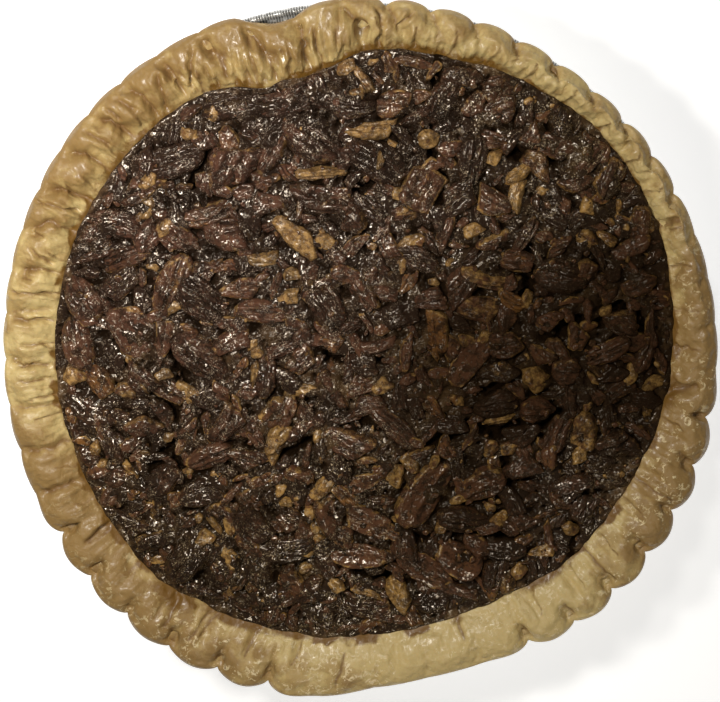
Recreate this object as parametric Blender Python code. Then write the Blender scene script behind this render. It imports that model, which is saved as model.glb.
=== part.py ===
"""A pecan pie baked in a 9 inch foil tin, at real size, with the centre of its base at the origin.

Three solids stand for what the pie is made of: the foil tin, the fluted pastry crust that lines it
and overhangs its rim, and the filling, a low dome of baked syrup with its pecans fused on.
Angles are in degrees, anticlockwise from +X as seen from above.
"""

import math
import random

import bmesh
import bpy
from mathutils import Matrix, Vector, noise

MM = 0.001

# Foil tin: 9 inches over the rolled rim, with a sloping wall and a flat flange
RIM_RADIUS = 114.3 * MM
BASE_RADIUS = 82.5 * MM
WALL_TOP_RADIUS = 107.2 * MM
FLANGE_HEIGHT = 29.4 * MM
FOIL = 0.5 * MM
BEAD = 1.1 * MM
FOOT_RISE = 1.3 * MM
TIN_SIDES = 60

# Clearance that keeps each solid off its neighbour
GAP = 0.45 * MM

# Pastry: thickness of the shell, and the heights of the rim's parts
SHELL = 4.0 * MM
RIM_UNDERSIDE = 31.0 * MM
LIP_HEIGHT = 32.4 * MM
TIP_RISE = 1.7 * MM
CREST_HEIGHT = 36.6 * MM
CREST_WAVE = 0.9 * MM
CREST_WAVE_TURNS = 2.6
SHOULDER_DROP = 1.1 * MM
SLOPE_RISE = 2.2 * MM

# How far in from the tips the rim's underside ends, its tip is rounded and its shoulder lies
UNDERSIDE_INSET = 2.2 * MM
TIP_INSET = 0.5 * MM
SHOULDER_INSET = 2.3 * MM
RIM_ON_FLANGE = 1.2 * MM

# Shares of the way in from the tips to the foot where the ridge and the inner shoulder lie, and of
# the way from the foot to the inner shoulder where the slope bends
RIDGE_SHARE = 0.36
INNER_SHARE = 0.62
SLOPE_SHARE = 0.42

# How much of a notch's depth lowers the rounded tip and the ridge, how much of the ridge's swing
# moves the inner shoulder, and how much of a fold's depth lowers that shoulder and the slope
TIP_NOTCH_SHARE = 0.3
RIDGE_NOTCH_SHARE = 0.45
INNER_SWING_SHARE = 0.6
INNER_FOLD_SHARE = 0.7
SLOPE_FOLD_SHARE = 0.3

SAMPLES_PER_CRIMP = 4
COARSE_PER_CRIMP = 2

# Radius of the crust's outer edge at the tips of its crimps, and of its foot where the filling
# begins: (degrees, radius in mm), each from 0 degrees on
OUTER_EDGE = (
    (0, 116.5), (23, 115.8), (38, 115.9), (54, 115.2), (75, 115.8), (90, 116.0), (96, 114.6),
    (100, 111.6), (103, 110.8), (106, 112.8), (109, 115.8), (119, 116.2), (137, 116.1), (157, 115.0),
    (176, 114.4), (199, 115.8), (217, 118.8), (235, 120.9), (251, 121.1), (263, 119.4), (273, 115.2),
    (285, 113.4), (295, 114.2), (305, 117.1), (316, 118.8), (339, 118.7), (352, 117.6),
)
CRUST_FOOT = (
    (0, 101.8), (13, 103.3), (25, 105.6), (47, 106.2), (56, 104.6), (66, 103.2), (72, 101.4),
    (84, 100.3), (90, 98.3), (95, 94.4), (102, 92.6), (109, 92.8), (114, 96.2), (121, 98.4),
    (147, 98.0), (178, 97.6), (199, 98.1), (215, 99.0), (228, 100.8), (239, 99.7), (251, 98.3),
    (263, 97.3), (276, 95.6), (291, 94.8), (304, 95.6), (317, 98.2), (332, 98.4), (347, 100.2),
)

# Zones of the crimped edge: start and end angle, number of crimps, depth of the notches between the
# outer lobes, depth of the folds pinched in from the filling side, and how far the ridge swings
# inwards at each notch (all depths in mm)
CRIMP_ZONES = (
    (-0.2, 29.3, 4, 0.5, 2.4, 0.5),
    (29.3, 92.3, 9, 2.0, 2.6, 1.6),
    (92.3, 171.7, 11, 1.2, 2.4, 1.4),
    (171.7, 211.2, 5, 1.0, 2.4, 0.8),
    (211.2, 263.9, 6, 3.4, 2.8, 1.8),
    (263.9, 301.2, 4, 0.3, 0.9, 0.3),
    (301.2, 359.8, 7, 3.2, 2.4, 1.6),
)
CRIMP_SEED = 11
CRIMP_UNEVENNESS = 0.28
NOTCH_ROUNDNESS = 0.7
FOLD_HALF_WIDTH = 0.24
FOLD_SHARPNESS = 1.4

# How far down the shell's inner wall is modelled from its foot, and how far it leans in for each metre
WALL_DROP = 4.0 * MM
WALL_LEAN = 0.5

# Filling: its level at the crust, the rise to the middle of its dome, and its gentle lumps
FILL_EDGE_LEVEL = 30.2 * MM
FILL_DOME = 2.4 * MM
DOME_FLATNESS = 2.5
FILL_LUMP = 1.1 * MM
FILL_LUMP_SIZE = 22.0 * MM

# Rings of the filling's top: share of the way out, and how many of the crust's points each skips
FILL_RINGS = ((0.84, 2), (0.66, 2), (0.46, 4), (0.24, 4))

# Pecans: kind, how many, length and width range (mm), height (mm), sides, share of the half that is
# left, and depth of the groove along the top
NUT_KINDS = (
    ("half", 42, (23.0, 27.0), (11.5, 13.4), 6.4, 7, 1.0, 0.42),
    ("broken", 54, (20.0, 25.0), (11.0, 13.0), 6.2, 6, 0.66, 0.0),
    ("sliver", 46, (15.0, 20.0), (6.0, 8.0), 5.2, 4, 1.0, 0.0),
)
HALF_STATIONS = (0.16, 0.5, 0.84)
SLIVER_STATIONS = (0.25, 0.75)
FEWEST_SIDES_WITH_A_BELLY = 6
BLUNTNESS = 0.9
PLUMPNESS = 0.6
ARCH = 0.5
GROOVE_NARROWNESS = 8
NUT_SEED = 5
NUT_CLEAR_OF_CRUST = 0.9 * MM
NUT_SUNK_SHARE = 0.12
BELLY_SHARE = 0.3
NUT_TILT = 14.0
NUT_ROLL = 24.0
PLACES_TRIED = 60

# Places round a lying nut's outline, as shares of its half length and half width
OUTLINE_SHARES = ((1, 0), (0.7, 0.8), (0, 1), (-0.7, 0.8), (-1, 0), (-0.7, -0.8), (0, -1), (0.7, -0.8))

# Angle between faces above which an edge is drawn sharp
SHARP_ANGLE = 40.0

# Colour, roughness and metallic value of each piece
FOIL_FINISH = ((0.78, 0.78, 0.77), 0.30, 1.0)
PASTRY_FINISH = ((0.52, 0.35, 0.16), 0.50, 0.0)
FILLING_FINISH = ((0.060, 0.030, 0.018), 0.28, 0.0)


def clear_scene():
    for item in list(bpy.data.objects):
        bpy.data.objects.remove(item)


def finish(name, colour, roughness, metallic):
    material = bpy.data.materials.new(name)
    material.use_nodes = True
    shader = material.node_tree.nodes["Principled BSDF"]
    shader.inputs["Base Color"].default_value = (*colour, 1.0)
    shader.inputs["Roughness"].default_value = roughness
    shader.inputs["Metallic"].default_value = metallic
    return material


def closed_curve(stations, degrees):
    """Radius in metres at an angle, on a smooth closed curve through (degrees, mm) stations."""
    count = len(stations)
    turned = degrees % 360.0
    here = max((i for i in range(count) if stations[i][0] <= turned), default=count - 1)

    def station(index):
        turns, place = divmod(index, count)
        return stations[place][0] + 360.0 * turns, stations[place][1]

    before, start, end, after = (station(here + step) for step in (-1, 0, 1, 2))
    span = end[0] - start[0]
    share = (turned - start[0]) / span
    rise_in = (end[1] - before[1]) / (end[0] - before[0]) * span
    rise_out = (after[1] - start[1]) / (after[0] - start[0]) * span
    cubic = share * share * (3.0 - 2.0 * share)
    radius = start[1] + (end[1] - start[1]) * cubic
    radius += rise_in * share * (1.0 - share) ** 2
    radius -= rise_out * share * share * (1.0 - share)
    return radius * MM


class Crimp:
    """One lobe of the fluted edge, from one notch to the next."""

    def __init__(self, start, width, notch, fold, swing):
        self.start = start
        self.width = width
        self.notch = notch
        self.fold = fold
        self.swing = swing
        self.next = None

    def at(self, share):
        """Angle, notch depth, ridge swing and fold depth at a share of the way along the lobe."""
        hollow = 1.0 - math.sin(math.pi * share) ** NOTCH_ROUNDNESS
        pinch = max(0.0, 1.0 - abs(share - 0.5) / FOLD_HALF_WIDTH) ** FOLD_SHARPNESS
        notch = self.notch + (self.next.notch - self.notch) * share
        swing = self.swing + (self.next.swing - self.swing) * share
        return self.start + self.width * share, notch * hollow, swing * hollow, self.fold * pinch


def make_crimps():
    draw = random.Random(CRIMP_SEED)
    crimps = []
    for start, end, count, notch, fold, swing in CRIMP_ZONES:
        width = (end - start) / count
        for place in range(count):
            sizes = [1.0 + CRIMP_UNEVENNESS * draw.uniform(-1.0, 1.0) for _ in range(3)]
            depths = [size * depth * MM for size, depth in zip(sizes, (notch, fold, swing))]
            crimps.append(Crimp(start + place * width, width, *depths))
    for place, crimp in enumerate(crimps):
        crimp.next = crimps[(place + 1) % len(crimps)]
    return crimps


def crimp_samples(crimps, per_crimp):
    """(crimp, share) at even steps along every lobe."""
    return [(crimp, step / per_crimp) for crimp in crimps for step in range(per_crimp)]


def point(degrees, radius, height):
    angle = math.radians(degrees)
    return Vector((radius * math.cos(angle), radius * math.sin(angle), height))


def add_ring(mesh, places):
    return [mesh.verts.new(place) for place in places]


def bridge(mesh, coarse, fine):
    """Faces between two rings, where the fine one has a whole multiple of the coarse one's points."""
    step = len(fine) // len(coarse)
    middle = step // 2
    for place, near in enumerate(coarse):
        far = coarse[(place + 1) % len(coarse)]
        for part in range(step):
            first = fine[place * step + part]
            second = fine[(place * step + part + 1) % len(fine)]
            mesh.faces.new((near if part <= middle else far, first, second))
            if part == middle:
                mesh.faces.new((near, second, far))


def cap(mesh, ring, centre):
    """A fan of faces from a ring to its centre."""
    pole = mesh.verts.new(centre)
    for place, vertex in enumerate(ring):
        mesh.faces.new((pole, vertex, ring[(place + 1) % len(ring)]))


def node_from(mesh, name, look):
    """The named object of a finished closed mesh, facing out."""
    bmesh.ops.recalc_face_normals(mesh, faces=mesh.faces)
    data = bpy.data.meshes.new(name)
    mesh.to_mesh(data)
    mesh.free()
    data.shade_smooth()
    data.set_sharp_from_angle(angle=math.radians(SHARP_ANGLE))
    node = bpy.data.objects.new(name, data)
    bpy.context.scene.collection.objects.link(node)
    data.materials.append(finish(name, *look))
    return node


def make_tin():
    """A thin turned shell: flat base, sloping wall, flange and rolled bead."""
    rim = RIM_RADIUS - BEAD
    bead_below, bead_middle = 0.6 * BEAD, 0.3 * BEAD
    bend_in, bend_up = 0.5 * FOIL, 0.4 * FOIL
    profile = (
        (BASE_RADIUS, 0.0),
        (BASE_RADIUS + FOOT_RISE, FOOT_RISE),
        (WALL_TOP_RADIUS, FLANGE_HEIGHT - FOOT_RISE),
        (WALL_TOP_RADIUS + FOOT_RISE, FLANGE_HEIGHT),
        (rim - BEAD, FLANGE_HEIGHT),
        (rim, FLANGE_HEIGHT - bead_below),
        (RIM_RADIUS, FLANGE_HEIGHT + bead_middle),
        (rim, FLANGE_HEIGHT + BEAD),
        (rim - BEAD, FLANGE_HEIGHT + FOIL),
        (WALL_TOP_RADIUS + FOOT_RISE - bend_in, FLANGE_HEIGHT + FOIL),
        (WALL_TOP_RADIUS - FOIL, FLANGE_HEIGHT - FOOT_RISE + bend_up),
        (BASE_RADIUS + FOOT_RISE - FOIL, FOOT_RISE + bend_up),
        (BASE_RADIUS - bend_in, FOIL),
    )
    mesh = bmesh.new()
    turns = [360.0 * side / TIN_SIDES for side in range(TIN_SIDES)]
    rings = [add_ring(mesh, [point(turn, radius, height) for turn in turns]) for radius, height in profile]
    for lower, upper in zip(rings, rings[1:]):
        bridge(mesh, lower, upper)
    cap(mesh, rings[0], (0.0, 0.0, 0.0))
    cap(mesh, rings[-1], (0.0, 0.0, FOIL))
    return node_from(mesh, "foil_tin", FOIL_FINISH)


def crest_height(degrees):
    """Height of the crust's ridge, which wanders a little round the pie."""
    return CREST_HEIGHT + CREST_WAVE * noise.noise(point(degrees, CREST_WAVE_TURNS, 0.0))


def rim_section(crimp, share):
    """Points over the crimped rim at one angle, from its underside on the tin to its foot."""
    degrees, notch, swing, fold = crimp.at(share)
    tip = closed_curve(OUTER_EDGE, degrees) - notch
    foot = closed_curve(CRUST_FOOT, degrees) + fold
    top = crest_height(degrees) - RIDGE_NOTCH_SHARE * notch
    span = tip + notch - foot
    ridge = tip + notch - RIDGE_SHARE * span - swing
    inner = tip + notch - INNER_SHARE * span - INNER_SWING_SHARE * swing
    slope = foot + SLOPE_SHARE * (inner - foot)
    section = (
        (max(tip - UNDERSIDE_INSET, WALL_TOP_RADIUS + RIM_ON_FLANGE), RIM_UNDERSIDE),
        (tip, LIP_HEIGHT),
        (tip - TIP_INSET, LIP_HEIGHT + TIP_RISE - TIP_NOTCH_SHARE * notch),
        (tip - SHOULDER_INSET, top - SHOULDER_DROP),
        (ridge, top),
        (inner, top - SHOULDER_DROP - INNER_FOLD_SHARE * fold),
        (slope, FILL_EDGE_LEVEL + SLOPE_RISE - SLOPE_FOLD_SHARE * fold),
        (foot, FILL_EDGE_LEVEL),
    )
    return [point(degrees, radius, height) for radius, height in section]


def make_crust(crimps):
    """The pastry shell: floor and wall inside the tin, and the fluted rim that lies on its flange."""
    coarse = [crimp.at(share)[0] for crimp, share in crimp_samples(crimps, COARSE_PER_CRIMP)]
    gap_on_wall = GAP * 1.1

    def round_ring(radius, height):
        return add_ring(mesh, [point(degrees, radius, height) for degrees in coarse])

    mesh = bmesh.new()
    base = round_ring(BASE_RADIUS - FOIL - GAP, FOIL + GAP)
    heel = round_ring(BASE_RADIUS + FOIL - GAP, FOOT_RISE + FOIL + GAP)
    wall_top = round_ring(WALL_TOP_RADIUS - FOIL - gap_on_wall, FLANGE_HEIGHT)
    flange = round_ring(WALL_TOP_RADIUS + GAP, RIM_UNDERSIDE)
    sections = [rim_section(crimp, share) for crimp, share in crimp_samples(crimps, SAMPLES_PER_CRIMP)]
    rim = [add_ring(mesh, places) for places in zip(*sections)]
    wall = add_ring(mesh, [point(degrees, *inner_wall(degrees)) for degrees in coarse])
    floor = round_ring(BASE_RADIUS - SHELL, FOIL + GAP + SHELL)

    rings = (base, heel, wall_top, flange, *rim, wall, floor)
    for lower, upper in zip(rings, rings[1:]):
        if len(lower) <= len(upper):
            bridge(mesh, lower, upper)
        else:
            bridge(mesh, upper, lower)
    cap(mesh, base, (0.0, 0.0, FOIL + GAP))
    cap(mesh, floor, (0.0, 0.0, FOIL + GAP + SHELL))
    return node_from(mesh, "pastry_crust", PASTRY_FINISH)


def inner_wall(degrees):
    """Radius and height of the shell's inner face, a little below the filling's edge."""
    return closed_curve(CRUST_FOOT, degrees) - WALL_LEAN * WALL_DROP, FILL_EDGE_LEVEL - WALL_DROP


def filling_level(x, y):
    """Height of the baked syrup between the nuts: a low dome with gentle lumps."""
    degrees = math.degrees(math.atan2(y, x))
    share = min(1.0, math.hypot(x, y) / closed_curve(CRUST_FOOT, degrees))
    lump = noise.noise(Vector((x, y, 0.0)) / FILL_LUMP_SIZE)
    return FILL_EDGE_LEVEL + (1.0 - share**DOME_FLATNESS) * (FILL_DOME + FILL_LUMP * lump)


def make_filling_core(crimps):
    """The filling without its nuts, from the shell's floor up to its domed top."""
    coarse = [crimp.at(share)[0] for crimp, share in crimp_samples(crimps, COARSE_PER_CRIMP)]
    mesh = bmesh.new()
    floor_height = FOIL + GAP + SHELL + GAP
    floor = add_ring(mesh, [point(degrees, BASE_RADIUS - SHELL - GAP, floor_height) for degrees in coarse])
    wall_places = [(degrees, *inner_wall(degrees)) for degrees in coarse]
    wall = add_ring(mesh, [point(degrees, radius - GAP, height) for degrees, radius, height in wall_places])
    edge = add_ring(
        mesh,
        [point(degrees, closed_curve(CRUST_FOOT, degrees) - GAP, FILL_EDGE_LEVEL) for degrees in coarse],
    )
    bridge(mesh, wall, floor)
    bridge(mesh, wall, edge)
    outer = edge
    for share, step in FILL_RINGS:
        ring_places = []
        for degrees in coarse[::step]:
            place = point(degrees, closed_curve(CRUST_FOOT, degrees) * share, 0.0)
            place.z = filling_level(place.x, place.y)
            ring_places.append(place)
        inner = add_ring(mesh, ring_places)
        bridge(mesh, inner, outer)
        outer = inner
    cap(mesh, floor, (0.0, 0.0, floor_height))
    cap(mesh, outer, (0.0, 0.0, filling_level(0.0, 0.0)))
    return node_from(mesh, "pecan_filling", FILLING_FINISH)


def nut_mesh(length, width, height, sides, kept, groove):
    """A pecan half lying along X, rounded side up, with its far end broken off where kept is under 1."""
    mesh = bmesh.new()
    stations = HALF_STATIONS if kept == 1.0 else (HALF_STATIONS[0], kept)
    if sides < FEWEST_SIDES_WITH_A_BELLY:
        stations = SLIVER_STATIONS
    rings = []
    for station in stations:
        half_width = 0.5 * width * math.sin(math.pi * station**BLUNTNESS) ** PLUMPNESS
        rise = height * math.sin(math.pi * station) ** ARCH
        places = []
        for side in range(sides):
            turn = 2.0 * math.pi * side / sides + 0.5 * math.pi
            lift = math.sin(turn)
            share = 1.0 - groove * lift**GROOVE_NARROWNESS if lift > 0.0 else BELLY_SHARE
            places.append((length * (station - 0.5), half_width * math.cos(turn), share * rise * lift))
        rings.append(add_ring(mesh, places))
    for near, far in zip(rings, rings[1:]):
        bridge(mesh, near, far)
    cap(mesh, rings[0], (-0.5 * length, 0.0, 0.0))
    if kept == 1.0:
        cap(mesh, rings[-1], (0.5 * length, 0.0, 0.0))
    else:
        mesh.faces.new(rings[-1])
    bmesh.ops.recalc_face_normals(mesh, faces=mesh.faces)
    return mesh


def clears_crust(place, offsets):
    """Whether every place round a nut's outline keeps off the crust, whose wall leans in below its foot."""
    for offset in offsets:
        spot = place + offset
        degrees = math.degrees(math.atan2(spot.y, spot.x))
        room = closed_curve(CRUST_FOOT, degrees) - math.hypot(spot.x, spot.y)
        if room < NUT_CLEAR_OF_CRUST + WALL_LEAN * max(0.0, -offset.z):
            return False
    return True


def free_place(draw, offsets, reach, placed):
    """Of the places tried that clear the crust, the one with the most room to the nuts so far."""
    best, most_room = None, -1.0
    for _ in range(PLACES_TRIED):
        degrees = draw.uniform(0.0, 360.0)
        place = point(degrees, closed_curve(CRUST_FOOT, degrees) * math.sqrt(draw.random()), 0.0)
        room = min(((place - other).length / (reach + size) for other, size in placed), default=1.0)
        if room > most_room and clears_crust(place, offsets):
            best, most_room = place, room
    return best


def scatter_nuts():
    """(length, width, height, sides, kept, groove, placing matrix) of every nut, the largest first."""
    draw = random.Random(NUT_SEED)
    placed, nuts = [], []
    for _, count, lengths, widths, height, sides, kept, groove in NUT_KINDS:
        for _ in range(count):
            length = draw.uniform(*lengths) * MM
            width = draw.uniform(*widths) * MM
            turned = Matrix.Rotation(math.radians(draw.uniform(0.0, 360.0)), 4, "Z")
            turned @= Matrix.Rotation(math.radians(draw.uniform(-NUT_TILT, NUT_TILT)), 4, "Y")
            turned @= Matrix.Rotation(math.radians(draw.uniform(-NUT_ROLL, NUT_ROLL)), 4, "X")
            sunk = Vector((0.0, 0.0, -NUT_SUNK_SHARE * height * MM))
            half_length, half_width = 0.5 * length * kept, 0.5 * width
            outline = [Vector((x * half_length, y * half_width, 0.0)) for x, y in OUTLINE_SHARES]
            offsets = [turned @ spot + sunk for spot in outline]
            reach = half_length + half_width
            place = free_place(draw, offsets, reach, placed)
            if place is None:
                continue
            placed.append((place.copy(), reach))
            place.z = filling_level(place.x, place.y)
            centred = Matrix.Translation((0.5 * length * (1.0 - kept), 0.0, 0.0))
            matrix = Matrix.Translation(place + sunk) @ turned @ centred
            nuts.append((length, width, height * MM, sides, kept, groove, matrix))
    return nuts


def keep_largest_shell(node):
    """Drops every closed shell but the largest, such as the inside of a hollow sealed between nuts."""
    mesh = bmesh.new()
    mesh.from_mesh(node.data)
    left, largest = set(mesh.faces), set()
    while left:
        shell, edge_of_shell = set(), {next(iter(left))}
        while edge_of_shell:
            shell |= edge_of_shell
            beside = {face for known in edge_of_shell for edge in known.edges for face in edge.link_faces}
            edge_of_shell = beside - shell
        left -= shell
        largest = max(largest, shell, key=len)
    others = [face for face in mesh.faces if face not in largest]
    bmesh.ops.delete(mesh, geom=others, context="FACES")
    mesh.to_mesh(node.data)
    mesh.free()


def make_filling(crimps):
    """The filling with its nuts fused on by one union."""
    core = make_filling_core(crimps)
    group = bpy.data.collections.new("nuts")
    bpy.context.scene.collection.children.link(group)
    for *sizes, matrix in scatter_nuts():
        mesh = nut_mesh(*sizes)
        mesh.transform(matrix)
        data = bpy.data.meshes.new("nut")
        mesh.to_mesh(data)
        mesh.free()
        group.objects.link(bpy.data.objects.new("nut", data))
    union = core.modifiers.new("nuts fused on", "BOOLEAN")
    union.operation = "UNION"
    union.operand_type = "COLLECTION"
    union.collection = group
    union.solver = "EXACT"
    bpy.context.view_layer.objects.active = core
    bpy.ops.object.modifier_apply(modifier=union.name)
    for nut in list(group.objects):
        bpy.data.objects.remove(nut)
    bpy.data.collections.remove(group)
    keep_largest_shell(core)
    return core


def main():
    clear_scene()
    crimps = make_crimps()
    make_tin()
    make_crust(crimps)
    make_filling(crimps)


main()
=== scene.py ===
"""Looks of a pecan pie baked in a foil tin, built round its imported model.

Lengths are in millimetres until a mesh is made. Angles are in degrees, anticlockwise from +X as seen
from above. Pixel coordinates are those of the 720 by 702 photograph.
"""

from __future__ import annotations

import logging
import math
import random
from dataclasses import dataclass, field
from enum import Enum

import bpy
import numpy as np
from mathutils import Matrix, Vector, noise

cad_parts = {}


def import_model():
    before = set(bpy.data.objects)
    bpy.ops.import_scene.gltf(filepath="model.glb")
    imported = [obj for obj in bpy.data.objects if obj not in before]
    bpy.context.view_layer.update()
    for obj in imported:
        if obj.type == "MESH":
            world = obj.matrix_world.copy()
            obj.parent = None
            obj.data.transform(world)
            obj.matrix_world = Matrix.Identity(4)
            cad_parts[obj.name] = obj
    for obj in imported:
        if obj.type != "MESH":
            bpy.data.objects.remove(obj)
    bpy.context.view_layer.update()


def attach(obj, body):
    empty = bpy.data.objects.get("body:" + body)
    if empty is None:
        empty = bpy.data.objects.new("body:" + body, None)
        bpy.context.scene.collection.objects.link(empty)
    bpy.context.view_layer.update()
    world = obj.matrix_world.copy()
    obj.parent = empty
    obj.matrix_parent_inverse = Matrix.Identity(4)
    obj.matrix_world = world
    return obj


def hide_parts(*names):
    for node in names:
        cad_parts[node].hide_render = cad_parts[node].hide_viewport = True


Array = np.ndarray

MM = 0.001
PHOTO_WIDTH = 720

# Directions of gradient noise
SLOPES = np.array([
    (1, 1, 0), (-1, 1, 0), (1, -1, 0), (-1, -1, 0), (1, 0, 1), (-1, 0, 1), (1, 0, -1), (-1, 0, -1),
    (0, 1, 1), (0, -1, 1), (0, 1, -1), (0, -1, -1), (1, 1, 0), (-1, 1, 0), (0, -1, 1), (0, -1, -1),
], float)

log = logging.getLogger("pie")


# Tools for shapes


@dataclass(frozen=True)
class Noise:
    """Smooth seeded noise in space, worked out for whole arrays of points at once."""

    seed: int

    def code(self, cells: Array, channel: int = 0) -> Array:
        """Random whole numbers of lattice cells.

        Args:
            cells: whole-number coordinates, shape (..., 3).
            channel: picks one of several numbers for the same cell.

        Returns:
            Numbers from 0 to 0xFFFFFF.
        """
        mixed = cells[..., 0] * 73856093 ^ cells[..., 1] * 19349663 ^ cells[..., 2] * 83492791
        mixed ^= (self.seed * 7919 + channel * 104729) * 2654435
        mixed &= 0xFFFFFFFF
        mixed = ((mixed ^ (mixed >> 15)) * 2246822519) & 0xFFFFFFFF
        mixed = ((mixed ^ (mixed >> 13)) * 3266489917) & 0xFFFFFFFF
        mixed ^= mixed >> 16
        return mixed & 0xFFFFFF

    def value(self, points: Array) -> Array:
        """One octave of gradient noise.

        Args:
            points: places with a spacing of about 1 between features, shape (..., 3).

        Returns:
            Values from about -1 to 1.
        """
        corner = np.floor(points).astype(np.int64)
        part = points - corner
        fade = part * part * part * (part * (part * 6.0 - 15.0) + 10.0)
        total = np.zeros(points.shape[:-1])
        for index in range(8):
            step = np.array([index & 1, (index >> 1) & 1, index >> 2])
            weight = np.prod(np.where(step == 1, fade, 1.0 - fade), axis=-1)
            slope = SLOPES[self.code(corner + step) & 15]
            total += weight * np.einsum("...j,...j->...", slope, part - step)
        return 1.4 * total

    def layers(self, points: Array, octaves: int) -> Array:
        """Several octaves of noise added up.

        Args:
            points: places, shape (..., 3).
            octaves: how many layers, each with twice the detail and half the strength of the last.

        Returns:
            Values from about -1 to 1.
        """
        total, strength, scale = np.zeros(points.shape[:-1]), 1.0, 1.0
        for octave in range(octaves):
            total += strength * self.value(points * scale + 17.3 * octave)
            strength *= 0.5
            scale *= 2.03
        return total

    def ridges(self, points: Array, octaves: int = 2) -> Array:
        """Noise with sharp crests, for wrinkles: 0 in the hollows and 1 on the crests."""
        return 1.0 - np.minimum(1.0, 1.8 * np.abs(self.layers(points, octaves)))

    def spots(self, points: Array, outer: float, inner: float, least: float) -> Array:
        """Round spots, one at a random place in some of the cells of a square lattice.

        Args:
            points: places whose first two coordinates are used, shape (..., 3).
            outer: distance from a spot's middle where it starts.
            inner: distance within which it is full.
            least: share of the cells that have none.

        Returns:
            Shares from 0 beside the spots to 1 in them.
        """
        flat = points.copy()
        flat[..., 2] = 0.5
        corner = np.floor(flat).astype(np.int64)
        nearest, rank = np.full(points.shape[:-1], 9.0), np.zeros(points.shape[:-1])
        for step in np.ndindex(3, 3, 1):
            cell = corner + np.array(step) - (1, 1, 0)
            x, y = (flat[..., axis] - cell[..., axis] - self.code(cell, axis + 1) / 0xFFFFFF for axis in (0, 1))
            distance = np.hypot(x, y)
            closer = distance < nearest
            nearest = np.where(closer, distance, nearest)
            rank = np.where(closer, self.code(cell, 3) / 0xFFFFFF, rank)
        return ramp(nearest, outer, inner) * (rank > least)


def hump(distance: Array, width: float | Array) -> Array:
    """A soft bump, 1 at no distance and near 0 beyond twice the width."""
    return np.exp(-((distance / width) ** 2))


def ramp(value: Array, low: float | Array, high: float | Array) -> Array:
    """A smooth step from 0 at low to 1 at high, which falls where low is the larger."""
    share = np.clip((value - low) / (high - low), 0.0, 1.0)
    return share * share * (3.0 - 2.0 * share)


def stacked(*parts: Array | float) -> Array:
    """Coordinates joined on a new last axis."""
    return np.stack(np.broadcast_arrays(*parts), axis=-1)


def on_circle(degrees: Array, radius: Array | float, height: Array | float) -> Array:
    """Points at an angle, a radius and a height."""
    turn = np.radians(degrees)
    return stacked(radius * np.cos(turn), radius * np.sin(turn), height)


def polar(x: Array, y: Array) -> tuple[Array, Array]:
    """Angle from 0 to 360 degrees and radius of places in the plane."""
    return np.degrees(np.arctan2(y, x)) % 360.0, np.hypot(x, y)


class ClosedCurve:
    """A radius that changes smoothly with the angle, through (degrees, mm) stations from 0 on."""

    def __init__(self, stations: tuple[tuple[float, float], ...]) -> None:
        """Lays out the stations with their neighbours.

        Args:
            stations: angles from 0 up, each with its radius.
        """
        angles, radii = np.array(stations, float).T
        self.angles = np.concatenate([angles[-1:] - 360.0, angles, angles[:2] + 360.0])
        self.radii = np.concatenate([radii[-1:], radii, radii[:2]])

    def radius(self, degrees: Array | float) -> Array:
        """The radius at each angle.

        Args:
            degrees: any angles.

        Returns:
            Radii in millimetres, of the same shape.
        """
        turned = np.asarray(degrees, float) % 360.0
        here = np.clip(np.searchsorted(self.angles, turned, side="right") - 1, 1, len(self.angles) - 3)
        before, start, end, after = (self.angles[here + step] for step in (-1, 0, 1, 2))
        low, first, last, high = (self.radii[here + step] for step in (-1, 0, 1, 2))
        span = end - start
        share = (turned - start) / span
        rise_in = (last - low) / (end - before) * span
        rise_out = (high - first) / (after - start) * span
        radius = first + (last - first) * share * share * (3.0 - 2.0 * share)
        return radius + rise_in * share * (1.0 - share) ** 2 - rise_out * share * share * (1.0 - share)


@dataclass
class Surface:
    """Points, faces and masks gathered for one mesh."""

    masks: tuple[str, ...] = ()
    points: list[Array] = field(default_factory=list)
    corners: list[Array] = field(default_factory=list)
    sizes: list[Array] = field(default_factory=list)
    values: dict[str, list[Array]] = field(default_factory=dict)
    count: int = 0

    def add(self, points: Array, faces: list[Array], **masks: Array | float) -> None:
        """Adds a body.

        Args:
            points: places in millimetres, shape (n, 3).
            faces: arrays of corner numbers into those points, each shape (faces, corners).
            masks: a value for each point, or one for all, under each of the surface's mask names.
        """
        self.points.append(points)
        for part in faces:
            self.corners.append((part + self.count).ravel())
            self.sizes.append(np.full(len(part), part.shape[1]))
        for name in self.masks:
            self.values.setdefault(name, []).append(np.broadcast_to(masks.get(name, 0.0), len(points)))
        self.count += len(points)

    def build(self, name: str, finish: bpy.types.Material, node: str, slot: str) -> None:
        """Makes the mesh object and hands it to the frame.

        Args:
            name: the piece's name.
            finish: its material.
            node: the node that it stands for.
            slot: a material slot; not used.
        """
        corners = np.concatenate(self.corners).astype(np.int32)
        sizes = np.concatenate(self.sizes).astype(np.int32)
        mesh = bpy.data.meshes.new(name)
        mesh.vertices.add(self.count)
        mesh.vertices.foreach_set("co", (np.concatenate(self.points) * MM).astype(np.float32).ravel())
        mesh.loops.add(len(corners))
        mesh.loops.foreach_set("vertex_index", corners)
        mesh.polygons.add(len(sizes))
        mesh.polygons.foreach_set("loop_start", np.concatenate([[0], np.cumsum(sizes)[:-1]]).astype(np.int32))
        for mask in self.masks:
            layer = mesh.attributes.new(mask, "FLOAT", "POINT")
            layer.data.foreach_set("value", np.concatenate(self.values[mask]).astype(np.float32))
        mesh.update(calc_edges=True)
        mesh.validate()
        mesh.shade_smooth()
        mesh.materials.append(finish)
        piece = bpy.data.objects.new(name, mesh)
        bpy.context.scene.collection.objects.link(piece)
        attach(piece, "root")
        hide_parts(node)
        log.info("%s: %d points, %d triangles", name, self.count, int((sizes - 2).sum()))


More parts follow.
